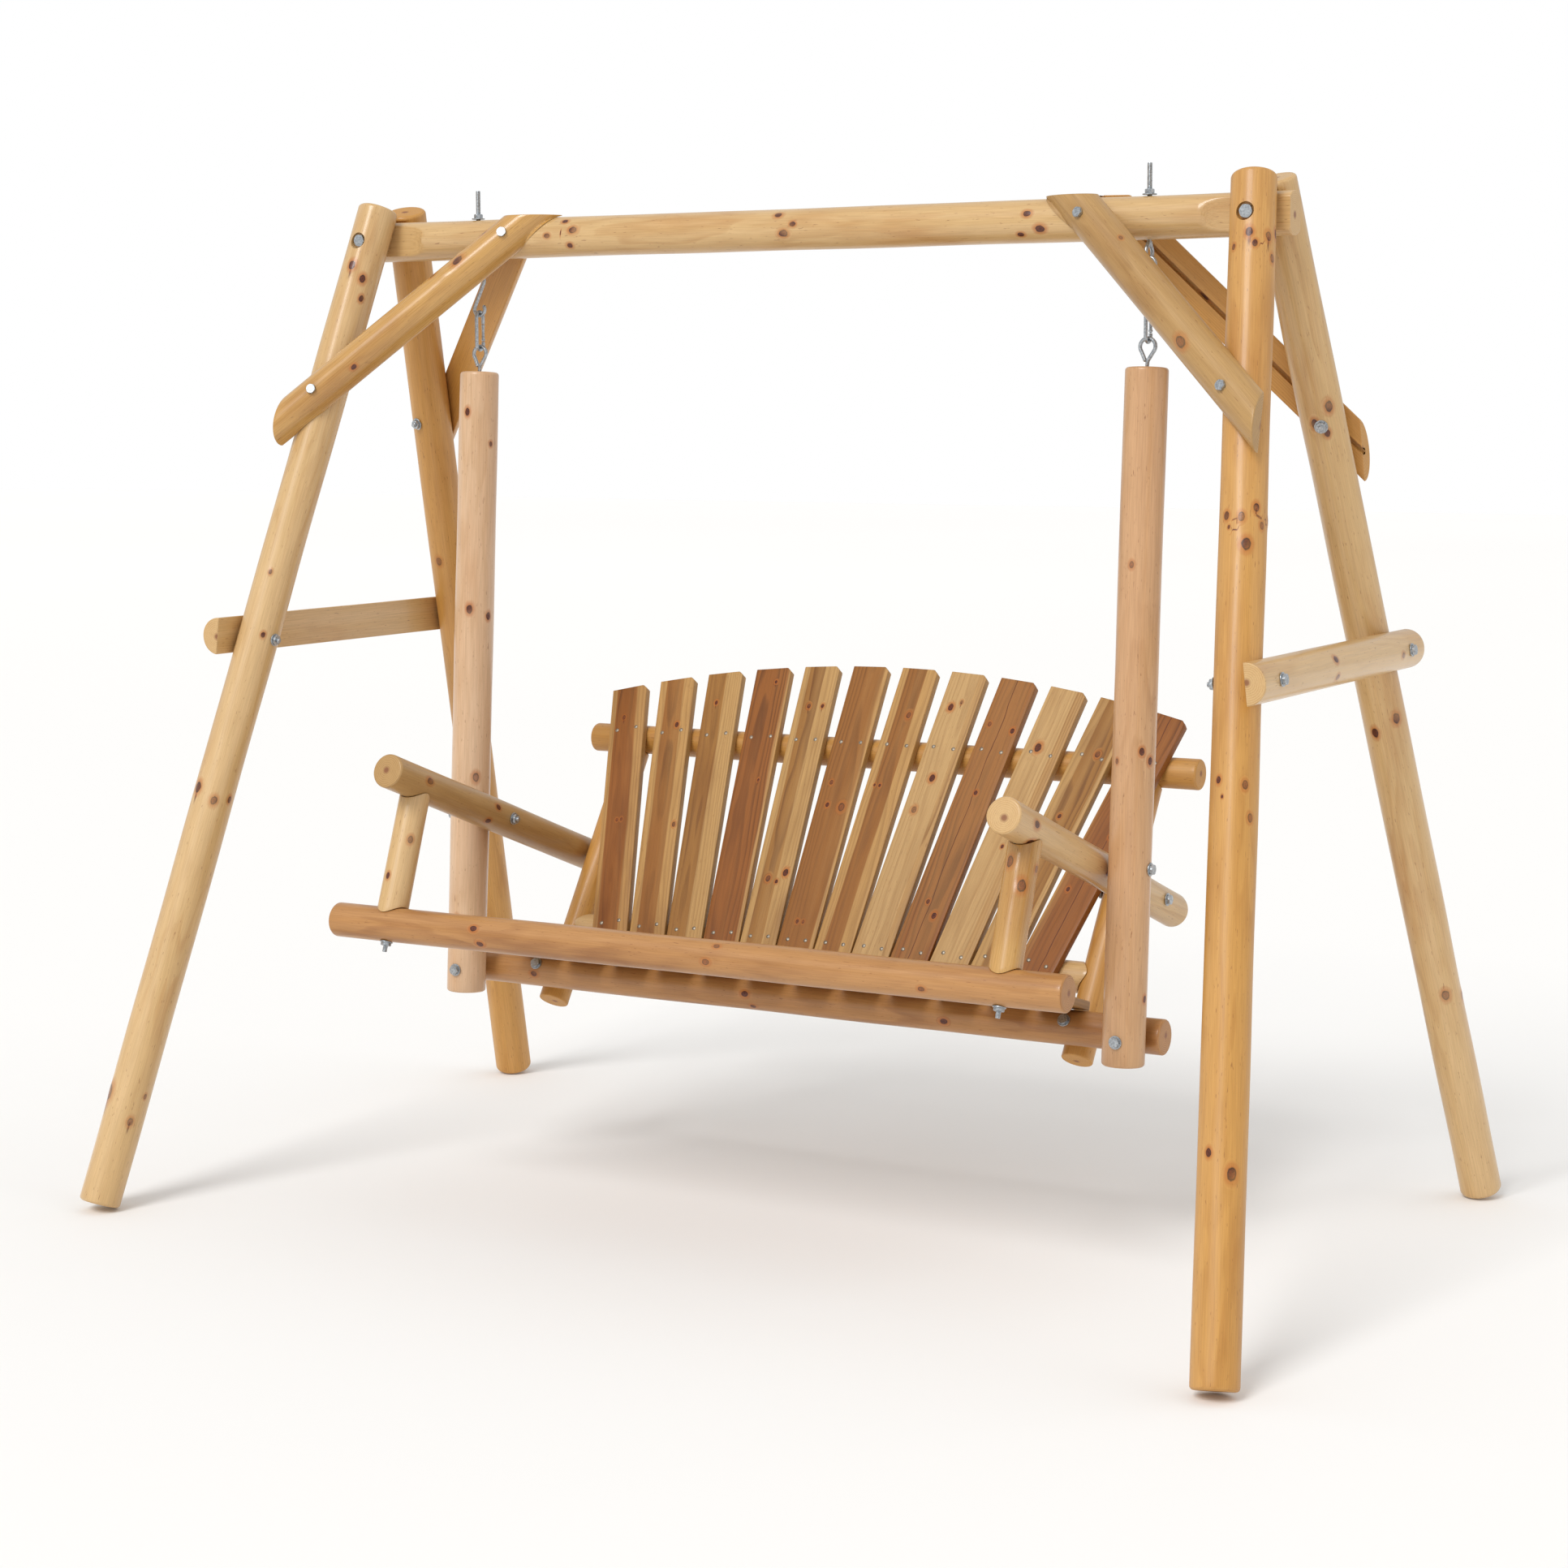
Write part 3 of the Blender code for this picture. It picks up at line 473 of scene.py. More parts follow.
def woodMaterial(name, look, detail):
    material = bpy.data.materials.new(name)
    material.use_nodes = True
    tree = material.node_tree
    tree.nodes.clear()

    def calc(operation, *values):
        return addNode(tree, "ShaderNodeMath", dict(enumerate(values)), operation=operation).outputs[0]

    def times(first, second):
        return calc("MULTIPLY", first, second)

    def plus(first, second):
        return calc("ADD", first, second)

    def stretch(vector, scale):
        return addNode(tree, "ShaderNodeVectorMath", {0: vector, 1: scale}, operation="MULTIPLY").outputs[0]

    def noise(scale, detailLevel=2.0, roughness=0.5):
        # one noise cell is 1 / scale metres in each direction of the grain
        stretched = stretch(grain, scale)
        return addNode(tree, "ShaderNodeTexNoise", {"Vector": stretched, "Scale": 1.0, "Detail": detailLevel,
                                                    "Roughness": roughness}).outputs[0]

    def span(value, low, high, outLow=0.0, outHigh=1.0):
        return addNode(tree, "ShaderNodeMapRange", {0: value, 1: low, 2: high, 3: outLow, 4: outHigh},
                       interpolation_type="SMOOTHSTEP").outputs[0]

    def blend(share, first, second, mode="MIX"):
        return addNode(tree, "ShaderNodeMix", {0: share, 6: first, 7: second}, data_type="RGBA",
                       blend_type=mode).outputs[2]

    grain = addNode(tree, "ShaderNodeAttribute", attribute_name="grain").outputs["Vector"]
    cut = addNode(tree, "ShaderNodeAttribute", attribute_name="cut").outputs["Fac"]
    split = addNode(tree, "ShaderNodeSeparateXYZ", {0: grain})
    flat = stretch(grain, (1.0, 1.0, 0.0))
    rho = addNode(tree, "ShaderNodeVectorMath", {0: flat}, operation="LENGTH").outputs["Value"]

    # knots: distance in knot radii, the least of the three sets, with a ragged edge
    ragged = times(calc("SUBTRACT", noise((150, 150, 110), 2.0), 0.5), 0.55)
    distance, tail = None, None
    for knotSet in ("knotA", "knotB", "knotC"):
        offset = addNode(tree, "ShaderNodeAttribute", attribute_name=knotSet).outputs["Vector"]
        parts = addNode(tree, "ShaderNodeSeparateXYZ", {0: offset})
        square = plus(calc("POWER", calc("ABSOLUTE", parts.outputs[0]), 2.0),
                      calc("POWER", calc("ABSOLUTE", times(parts.outputs[1], 0.72)), 2.0))
        far = calc("MAXIMUM", times(calc("SUBTRACT", 1.0, parts.outputs[2]), 9.0), 0.0)
        one = plus(calc("SQRT", square), far)
        distance = one if distance is None else calc("MINIMUM", distance, one)
        # a resin tail runs down the grain below some knots, half as wide as the knot and four radii long
        slim = span(calc("ABSOLUTE", plus(parts.outputs[0], ragged)), 0.12, 0.55, 1.0, 0.0)
        drop = times(span(parts.outputs[1], -5.2, -2.4), span(parts.outputs[1], -0.6, 0.2, 1.0, 0.0))
        run = times(times(slim, drop), span(parts.outputs[2], 1.0, 2.0))
        tail = run if tail is None else calc("MAXIMUM", tail, run)
    knot = plus(distance, ragged)

    # growth rings: fraction of (distance from the pith + slow drift along the stem) / ring spacing
    drift = times(calc("SUBTRACT", noise((11, 11, 1.7), 3.0, 0.55), 0.5), detail["drift"] * 2)
    swirl = times(span(distance, 0.6, 2.6, 1.0, 0.0), detail["ring"] * 1.6)
    phase = calc("DIVIDE", plus(plus(rho, drift), swirl), detail["ring"])
    ring = calc("FRACT", phase)
    late = setRamp(addNode(tree, "ShaderNodeValToRGB", {0: ring}),
                   [(0.0, (0, 0, 0, 1)), (0.45, (0.12, 0.12, 0.12, 1)), (0.82, (1, 1, 1, 1)),
                    (0.93, (0.7, 0.7, 0.7, 1)), (1.0, (0, 0, 0, 1))]).outputs[0]
    patch = span(noise((9, 9, 2.6), 2.0), 0.40, 0.70)
    lateShare = times(times(late, detail["lateShare"]), plus(0.45, patch))
    colour = blend(lateShare, linear(look["early"]), linear(look["late"]))
    band = times(span(noise((24, 24, 0.9), 2.0), 0.44, 0.60), detail["sapShare"])
    colour = blend(band, colour, linear(look["sap"]))
    # boards: reddish heartwood between two paler strips of sapwood, and on some a dark lengthwise crack
    plank = addNode(tree, "ShaderNodeSeparateXYZ",
                    {0: addNode(tree, "ShaderNodeAttribute", attribute_name="plank").outputs["Vector"]})
    wobble = times(calc("SUBTRACT", noise((60, 60, 3.5), 2.0), 0.5), 0.55)
    sapShare = span(plus(calc("ABSOLUTE", plank.outputs[0]), wobble), 0.90, 1.06)
    sapwood = blend(times(late, 0.28), linear(look["sap"]), linear(look["late"]))
    colour = blend(sapShare, colour, sapwood)
    crooked = times(calc("SUBTRACT", noise((30, 30, 14), 2.0), 0.5), 9.0)
    crack = span(calc("ABSOLUTE", plus(plank.outputs[1], crooked)), 0.3, 1.1, 0.85, 0.0)
    colour = blend(times(crack, plank.outputs[2]), colour, linear(knotColours["resin"]))
    stained = times(span(noise((13, 13, 3.1), 3.0, 0.6), 0.50, 0.74), look["stainShare"])
    colour = blend(stained, colour, linear(look["stain"]))
 
    fibre = noise((700, 700, 16), 3.0, 0.6)  # fibres about 1.5 mm apart, drawn coarser than the real 0.05 mm
    shade = addNode(tree, "ShaderNodeCombineColor", {0: span(fibre, 0.2, 0.8, 0.80, 1.08),
                                                     1: span(fibre, 0.2, 0.8, 0.77, 1.08),
                                                     2: span(fibre, 0.2, 0.8, 0.72, 1.08)}).outputs[0]
    colour = blend(0.75, colour, shade, "MULTIPLY")
    dash = times(span(noise((470, 470, 80), 1.0), 0.68, 0.78), detail["fleckShare"])
    colour = blend(dash, colour, linear("7a4722"))

    # end grain: faint rings in the log's own tones, a red-brown pith and a few drying checks
    endDrift = times(noise((40, 40, 5), 2.0), 0.004)
    endRing = calc("FRACT", calc("DIVIDE", plus(rho, endDrift), 0.0031))
    angle = calc("ARCTAN2", split.outputs[1], split.outputs[0])
    spokes = calc("ABSOLUTE", calc("SINE", plus(times(angle, 2.5), times(noise((60, 60, 4)), 5.0))))
    check = times(span(spokes, 0.0, 0.035, 1.0, 0.0), span(rho, 0.004, 0.02, 0.8, 0.0))
    ringShare = times(span(endRing, 0.30, 0.95), span(noise((90, 90, 4), 2.0), 0.3, 0.7, 0.35, 0.8))
    face = blend(ringShare, linear(look["early"]), linear(look["late"]))
    face = blend(span(plus(rho, endDrift), 0.004, 0.010, 0.85, 0.0), face, linear(knotColours["pith"]))
    face = blend(check, face, linear("5b3218"))
    face = blend(0.6, face, shade, "MULTIPLY")
    colour = blend(cut, colour, face)

    # knots: dark dead ones and paler, redder live ones, ringed and speckled inside, with an amber halo
    knotRamp = setRamp(addNode(tree, "ShaderNodeValToRGB", {0: calc("DIVIDE", knot, 2.6)}),
                       [(0.0, linear(knotColours["heart"])), (0.13, linear(knotColours["body"])),
                        (0.28, linear(knotColours["body"])), (0.36, linear(knotColours["rim"])),
                        (0.44, linear(knotColours["halo"])[:3] + (0.75,)),
                        (0.88, linear(knotColours["halo"])[:3] + (0.0,))])
    sort = noise((21, 21, 21), 1.0)
    live = times(span(sort, 0.46, 0.56), span(knot, 0.62, 0.86, 1.0, 0.0))
    knotTone = blend(live, knotRamp.outputs[0], linear(knotColours["red"]))
    coil = span(calc("ABSOLUTE", calc("SINE", times(knot, 11.0))), 0.0, 0.9, 0.55, 1.0)
    speck = span(noise((420, 420, 420), 2.0), 0.35, 0.65, 0.5, 1.0)
    shadeIn = calc("MAXIMUM", times(coil, speck), span(knot, 0.95, 1.1))
    inner = addNode(tree, "ShaderNodeCombineColor", {0: shadeIn, 1: shadeIn, 2: shadeIn}).outputs[0]
    knotTone = blend(1.0, knotTone, inner, "MULTIPLY")
    faint = span(sort, 0.40, 0.60, 1.0, 0.72)  # the redder knots are paler too
    resin = times(times(tail, 0.8), calc("SUBTRACT", 1.0, cut))
    colour = blend(resin, colour, linear(knotColours["resin"]))
    knotShare = times(times(knotRamp.outputs[1], faint), calc("SUBTRACT", 1.0, cut))
    colour = blend(knotShare, colour, knotTone)

    # relief: raised latewood and fibres, knots a little proud; heights in tenths of a millimetre
    waves = noise((55, 55, 9), 2.0)
    height = plus(plus(times(fibre, 0.25), times(late, 0.25)),
                  plus(times(waves, 3.0), span(knot, 0.7, 1.3, 0.6, 0.0)))
    bump = addNode(tree, "ShaderNodeBump",
                   {"Strength": 0.55, "Distance": 0.00022, "Height": height}).outputs[0]
    rough = plus(span(fibre, 0.3, 0.7, look["gloss"] - 0.04, look["gloss"] + 0.07),
                 times(cut, 0.18))
    shader = addNode(tree, "ShaderNodeBsdfPrincipled", {"Base Color": colour, "Roughness": rough,
                                                        "Normal": bump})
    shader.inputs["IOR"].default_value = 1.48
    shader.inputs["Specular IOR Level"].default_value = detail["shine"]
    shader.inputs["Coat Weight"].default_value = look["coat"]
    shader.inputs["Coat Roughness"].default_value = 0.14
    addNode(tree, "ShaderNodeOutputMaterial", {0: shader.outputs[0]})
    return material


def steelMaterial(name, dark, light, rough):
    # bright zinc-plated steel: a cool grey metal, faintly mottled, with a soft gloss; the nails are duller
    material = bpy.data.materials.new(name)
    material.use_nodes = True
    tree = material.node_tree
    tree.nodes.clear()
    place = addNode(tree, "ShaderNodeTexCoord").outputs["Object"]
    mottle = addNode(tree, "ShaderNodeTexNoise", {"Vector": place, "Scale": 350.0, "Detail": 3.0}).outputs[0]
    colour = setRamp(addNode(tree, "ShaderNodeValToRGB", {0: mottle}),
                     [(0.35, linear(dark)), (0.65, linear(light))]).outputs[0]
    rough = addNode(tree, "ShaderNodeMapRange", {0: mottle, 3: rough, 4: rough + 0.12}).outputs[0]
    bump = addNode(tree, "ShaderNodeBump",
                   {"Strength": 0.12, "Distance": 0.0001, "Height": mottle}).outputs[0]
    shader = addNode(tree, "ShaderNodeBsdfPrincipled",
                     {"Base Color": colour, "Roughness": rough, "Normal": bump})
    shader.inputs["Metallic"].default_value = 1.0
    addNode(tree, "ShaderNodeOutputMaterial", {0: shader.outputs[0]})
    return material


woods = {name: woodMaterial(name, look, woodDetail["pine"]) for name, look in pineLooks.items()}
woods.update({name: woodMaterial(name, look, woodDetail["fir"]) for name, look in firLooks.items()})
zinc = steelMaterial("brightZincPlatedSteel", "9ba1a6", "c3c8cc", 0.34)
nailSteel = steelMaterial("dulledNailSteel", "7a7064", "a89e8f", 0.4)
print("materials made")

# ---------- logs ----------
up, rightward = np.array([0.0, 0.0, 1.0]), np.array([1.0, 0.0, 0.0])
# knots are (place from the foot or left end, 0 to 1; degrees round from the front; radius in mm; resin tail)
logPieces = {
    "leg_front_right": {"ease": 0.006, "finish": "honeyPine", "toward": up, "seed": 11, "knots": [
        (0.941, -17, 5, True), (0.939, 33, 5, True), (0.931, -3, 3.8), (0.921, 50, 4.5),
        (0.93, -59, 3.2), (0.945, 68, 5),
        (0.703, 22, 4.5, True), (0.694, -13, 4.6), (0.696, -52, 4.4), (0.689, 41, 4), (0.686, -44, 2),
        (0.671, 0, 6.5),
        (0.697, 80, 5), (0.476, -50, 3.6), (0.472, 16, 4.5), (0.462, -38, 1.8), (0.446, 33, 4.2),
        (0.164, 14, 6.5),
        (0.18, -42, 4), (0.70, 150, 6), (0.47, 200, 6), (0.16, 170, 6)]},
    "leg_front_left": {"ease": 0.006, "finish": "palePine", "toward": up, "seed": 12, "knots": [
        (0.935, -22, 5.5, True), (0.924, 18, 5), (0.905, 30, 4), (0.622, -8, 3), (0.561, 20, 3.4),
        (0.404, -48, 6.5, True),
        (0.395, 12, 5), (0.40, 60, 4), (0.104, -66, 9, True), (0.082, 30, 4.6, True), (0.108, 55, 3),
        (0.61, 190, 6), (0.4, 160, 6)]},
    "leg_rear_right": {"ease": 0.006, "finish": "palePine", "toward": up, "seed": 13, "knots": [
        (0.785, -35, 5.2), (0.798, 10, 5.9), (0.775, -8, 4.1), (0.50, 20, 5.9), (0.49, -45, 5.2),
        (0.22, 0, 5.9),
        (0.21, 65, 5.2), (0.5, 180, 5.9), (0.79, 150, 5.2)]},
    "leg_rear_left": {"ease": 0.006, "finish": "honeyPine", "toward": up, "seed": 14, "knots": [
        (0.905, -5, 5.9), (0.63, -30, 5.2), (0.62, 40, 5.9), (0.33, 10, 5.2), (0.32, -60, 5.2),
        (0.62, 170, 5.9)]},
    "top_beam": {"finish": "palePine", "toward": rightward, "seed": 15, "knots": [
        (0.262, -10, 5.2), (0.250, -40, 3.7), (0.258, 35, 3.7), (0.232, 5, 3.7), (0.50, 20, 5.2),
        (0.492, -35, 4.4),
        (0.51, -5, 3.7), (0.752, -12, 4.4), (0.765, 30, 5.2), (0.745, 45, 3.7), (0.5, 180, 5.9),
        (0.25, 150, 5.2)]},
    "side_rail_left": {"finish": "palePine", "toward": -towardViewer, "seed": 16, "knots": [
        (0.3, 0, 5.2), (0.31, 50, 4.4), (0.72, -30, 5.2)]},
    "side_rail_right": {"finish": "palePine", "toward": -towardViewer, "seed": 17, "knots": [
        (0.42, -20, 5.2), (0.43, 30, 4.4), (0.85, 10, 4.4)]},
    "brace_front_left": {"finish": "amberPine", "toward": rightward, "seed": 18, "knots": [
        (0.70, -25, 6.7), (0.62, -50, 4.4), (0.80, -60, 5.2), (0.3, 30, 3.7)]},
    "brace_front_right": {"finish": "duskyPine", "toward": rightward, "seed": 19, "knots": [
        (0.655, 10, 7.4), (0.30, -45, 3)]},
    "brace_rear_left": {"finish": "honeyPine", "toward": rightward, "seed": 20, "knots": [
        (0.5, 20, 6.7)]},
    "brace_rear_right": {"finish": "honeyPine", "toward": rightward, "seed": 21, "kerf": 0.34, "knots": [
        (0.4, -10, 5.9)]},
    "post_left": {"ease": 0.005, "finish": "blushPine", "toward": up, "seed": 22, "knots": [
        (0.935, -30, 4.4), (0.885, 45, 3), (0.62, -10, 5.2), (0.61, 50, 4.4), (0.35, 20, 5.2),
        (0.12, -30, 4.4),
        (0.6, 180, 5.9)]},
    "post_right": {"ease": 0.005, "finish": "rosyPine", "toward": up, "seed": 23, "knots": [
        (0.455, 15, 4.1), (0.442, 42, 4.1), (0.44, -55, 3), (0.72, -30, 3.7), (0.10, 55, 3.7),
        (0.45, 170, 5.9),
        (0.73, 200, 5.2)]},
    "front_rail": {"ease": 0.0035, "finish": "tawnyPine", "toward": rightward, "seed": 24, "knots": [
        (0.22, -20, 4.4), (0.23, 30, 4.4), (0.55, 10, 4.4), (0.56, -45, 3.7), (0.83, 25, 3.7)]},
    "lower_rail": {"ease": 0.0035, "finish": "tawnyPine", "toward": rightward, "seed": 25, "knots": [
        (0.12, 10, 4.4), (0.44, 0, 4.4), (0.45, 45, 3.7), (0.72, 20, 4.4)]},
    "top_back_rail": {"ease": 0.0035, "finish": "honeyPine", "toward": rightward, "seed": 26, "knots": [
        (0.3, 160, 5.2), (0.6, 200, 5.2)]},
    "rear_seat_rail": {"finish": "palePine", "toward": rightward, "seed": 27, "knots": [(0.4, 160, 5.2)]},
    "upright_left": {"finish": "honeyPine", "toward": up, "seed": 28, "knots": [
        (0.4, 150, 5.2), (0.7, 180, 4.4)]},
    "upright_right": {"finish": "honeyPine", "toward": up, "seed": 29, "knots": [(0.5, 160, 5.2)]},
    "armrest_left": {"ease": 0.0035, "finish": "duskyPine", "toward": [0, -1, 0], "seed": 30, "knots": [
        (0.88, 30, 5.2), (0.6, -20, 4.4), (0.58, 40, 4.4)]},
    "armrest_right": {"ease": 0.0035, "finish": "palePine", "toward": [0, -1, 0], "seed": 31, "knots": [
        (0.895, -35, 5.9), (0.915, 25, 5.5), (0.5, 0, 3.7)]},
    "arm_support_left": {"finish": "palePine", "toward": up, "seed": 32, "knots": [
        (0.6, 20, 4.4), (0.3, -40, 3.7)]},
    "arm_support_right": {"finish": "amberPine", "toward": up, "seed": 33, "knots": [
        (0.64, 5, 6.3), (0.80, -50, 5.9), (0.78, 55, 3.7)]},
}
bodyOf = {node: body for body, members in frame["record"]["behaviour"]["bodies"].items() for node in members}
shapes = {node: logShape(node, np.asarray(look["toward"], float)) for node, look in logPieces.items()}
beam = shapes["top_beam"]
beamPoints = nodeFaces("top_beam")[0]
beamHalf = np.abs(beamPoints[:, 0]).max()
tenon = {"half": np.abs(beamPoints[np.abs(beamPoints[:, 0]) > beamHalf - 0.02][:, 1]).max(), "length": 0.110,
         "cove": 0.034}


def logCuts(node, shape):
    # what each end of a log is cut to
    low, high = squareCut(0.0), squareCut(shape["length"])
    nodeLow, nodeHigh = (np.array(corner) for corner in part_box(node))
    if node.startswith("brace"):
        outer = nodeLow[0] if node.endswith("left") else nodeHigh[0]
        level = planeCut(shape, nodeHigh, up)
        upright = planeCut(shape, [outer, 0, 0], rightward)
        return (upright, level) if node.endswith("left") else (level, upright)
    if node.startswith("upright"):
        high = saddleCut(shape, shapes["top_back_rail"], True)
    if node == "rear_seat_rail":
        low = saddleCut(shape, shapes["upright_left"], False)
        high = saddleCut(shape, shapes["upright_right"], True)
    if node.startswith("arm_support"):
        low = saddleCut(shape, shapes["front_rail"], False)
        high = saddleCut(shape, shapes["armrest" + node[11:]], True)
    return low, high


def seatOver(points, cylinder, outward, clearance=0.0002):
    # points inside the cylinder move along outward to its surface: the larger root of |p + k d - c| = R
    line = points - cylinder["origin"]
    flat = np.cross(line, cylinder["axis"])
    step = np.cross(outward, cylinder["axis"])
    a, b = step @ step, flat @ step
    c = (flat * flat).sum(-1) - (cylinder["radius"] + clearance) ** 2
    shift = (-b + np.sqrt(np.maximum(b * b - a * c, 0))) / a
    return points + outward * np.where(c < 0, shift, 0.0)[..., None]


def makeLog(node, look):
    shape = shapes[node]
    knots = [(place, math.radians(turn), mm / 1000, bool(resin))
             for place, turn, mm, *resin in look["knots"]]
    outline, centre = halfOutline(look.get("kerf", 0.0)) if shape["half"] else roundOutline()
    low, high = logCuts(node, shape)
    rows = max(12, int(shape["length"] / 0.007))
    wave = peeledWave(look["seed"], shape["length"], shape["radius"], knots, 0.25 if shape["half"] else 0.5)
    rings = sweepWood(shape, outline * shape["radius"], centre * shape["radius"], low, high,
                      look.get("ease", 0.002), rows, wave)
    if node == "top_beam":
        # flats at both ends, run out in a cove: |y| <= tenon + (R - tenon) * smoothstep
        inside = np.clip((beamHalf - tenon["length"] + 0.01 - np.abs(rings[..., 0])) / tenon["cove"], 0, 1)
        limit = tenon["half"] - 0.0002 + (shape["radius"] - tenon["half"]) * (1 - np.sqrt(1 - inside ** 2))
        rings[..., 1] = np.clip(rings[..., 1], -limit, limit)
    if node.startswith("leg"):
        # notched over the beam's flats
        end = -1.0 if "front" in node else 1.0
        over = (np.abs(rings[..., 2] - beam["origin"][2]) < beam["radius"] + 0.0003) & \
               (rings[..., 1] * end < tenon["half"] + 0.0003) & (np.abs(rings[..., 0]) < beamHalf + 0.04)
        rings[..., 1] = np.where(over, end * (tenon["half"] + 0.0003), rings[..., 1])
    if node.startswith("brace"):
        rings = seatOver(rings, beam, shape["side"])
        rings = seatOver(rings, shapes["leg" + node[5:]], shape["side"])
    if node == "front_rail":
        rings = cutRebate(rings)
    piece = makePiece(node + "_wood", [ringsToPart(rings)], bodyOf[node],
                      woods[look["finish"]], [node])
    return piece, shape, knots


slatShapes = {}
for k in range(12):
    slatShapes[f"seat_slat_{k + 1:02d}"] = boardShape(f"seat_slat_{k + 1:02d}", np.array([0, 1.0, 0]))
    slatShapes[f"back_slat_{k + 1:02d}"] = boardShape(f"back_slat_{k + 1:02d}", up)


def cutRebate(rings):
    # points of the front rail above the slats' underside and behind their front ends drop to that plane
    slat = slatShapes["seat_slat_01"]
    outer = slatShapes["seat_slat_12"]
    reach = outer["origin"][0] + outer["width"] / 2 + 0.002
    under = slat["origin"] - slat["third"] * (slat["thickness"] / 2 + 0.0003)
    above = (rings - under) @ slat["third"]
    behind = (rings - under) @ slat["axis"] + 0.0003
    inside = (above > 0) & (behind > 0) & (np.abs(rings[..., 0]) < reach)
    return rings - slat["third"] * np.where(inside, above, 0.0)[..., None]


made = {}
for node, look in logPieces.items():
    made[node] = makeLog(node, look)

legBolt = {"floorInset": 0.010, "holeRadius": 0.0138, "holeDepth": 0.06, "shank": 0.0047,
           "headSize": 1.3, "nutSize": 1.1}
boltBoxes = {side: [np.array(corner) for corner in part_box("leg_bolt_" + side)] for side in ("left", "right")}
for side, (boltLow, boltHigh) in boltBoxes.items():
    middle = (boltLow + boltHigh) / 2
    for end, sign in (("front", -1.0), ("rear", 1.0)):
        holeFloor = boltHigh[1] - legBolt["floorInset"]  # under the washer
        start = np.array([middle[0], sign * holeFloor, middle[2]])
        reach = np.array([0, sign * legBolt["holeDepth"], 0])
        drill(made[f"leg_{end}_{side}"][0], start, reach, legBolt["holeRadius"])
for node, (piece, shape, knots) in made.items():
    rng = np.random.default_rng(logPieces[node]["seed"])
    paintWood(piece, shape, knots, logPieces[node]["seed"], rng.uniform(-0.12, 0.12, 2) * shape["radius"])
print("logs made", len(made))

# ---------- slats ----------
backTones = ["redFir", "goldenFir", "tanFir", "redFir", "tanFir", "goldenFir",
             "goldenFir", "paleFir", "redFir", "paleFir", "tanFir", "redFir"]
slatLook = {"ease": 0.0012, "endEase": 0.0009, "clip": 0.007, "rows": 72}
# heartwood is (middle, half width) and crack a place across, all as shares of the slat's half width;
# knots are (place from the foot, mm from the middle, radius in mm, resin tail)
slatPlan = {
    1: {"heart": (-0.12, 0.60), "knots": [(0.88, -7, 3, True), (0.47, -4, 2.4), (0.47, 5, 2.4)]},
    2: {"heart": (-0.08, 0.52), "knots": [(0.82, 9, 3.6), (0.44, 27, 3.4)]},
    3: {"heart": (-0.60, 0.72), "knots": [(0.89, -10, 2.8, True)]},
    4: {"heart": (-0.15, 1.02), "knots": [(0.95, 9, 2.5, True), (0.60, 12, 2.2, True)]},
    5: {"heart": (-0.22, 0.42), "knots": [(0.86, -9, 3.4, True), (0.86, 18, 2.8, True), (0.27, -9, 4.2),
                                          (0.29, 22, 4.6), (0.26, 8, 2.6)]},
    6: {"heart": (-0.15, 0.98), "knots": [
        (0.60, -16, 3), (0.525, -12, 3.2), (0.52, 16, 5.4), (0.14, -8, 2.8),
                                          (0.14, 3, 2.4)]},
    7: {"heart": (-0.10, 0.50), "knots": [(0.84, 5, 4.2), (0.60, -18, 2), (0.60, -8, 2.3)]},
    8: {"heart": (0.9, 0.30), "knots": [
        (0.88, -13, 4.6), (0.90, 4, 2.6, True), (0.64, -1, 4.8), (0.53, -14, 4.4)]},
    9: {"heart": (0.0, 1.4), "crack": -0.05, "knots": [(0.84, -22, 3.2), (0.83, 24, 3.6), (0.61, 2, 3),
                                                       (0.24, -6, 3), (0.20, 14, 4)]},
    10: {"heart": (0.85, 0.35), "knots": [(0.79, -9, 5.6), (0.45, 4, 2.4)]},
    11: {"heart": (0.15, 0.62), "knots": [(0.81, 8, 4.2), (0.58, -6, 3)]},
    12: {"heart": (0.1, 1.1), "crack": 0.2, "knots": [(0.55, 10, 3.2), (0.34, -14, 3)]},
}


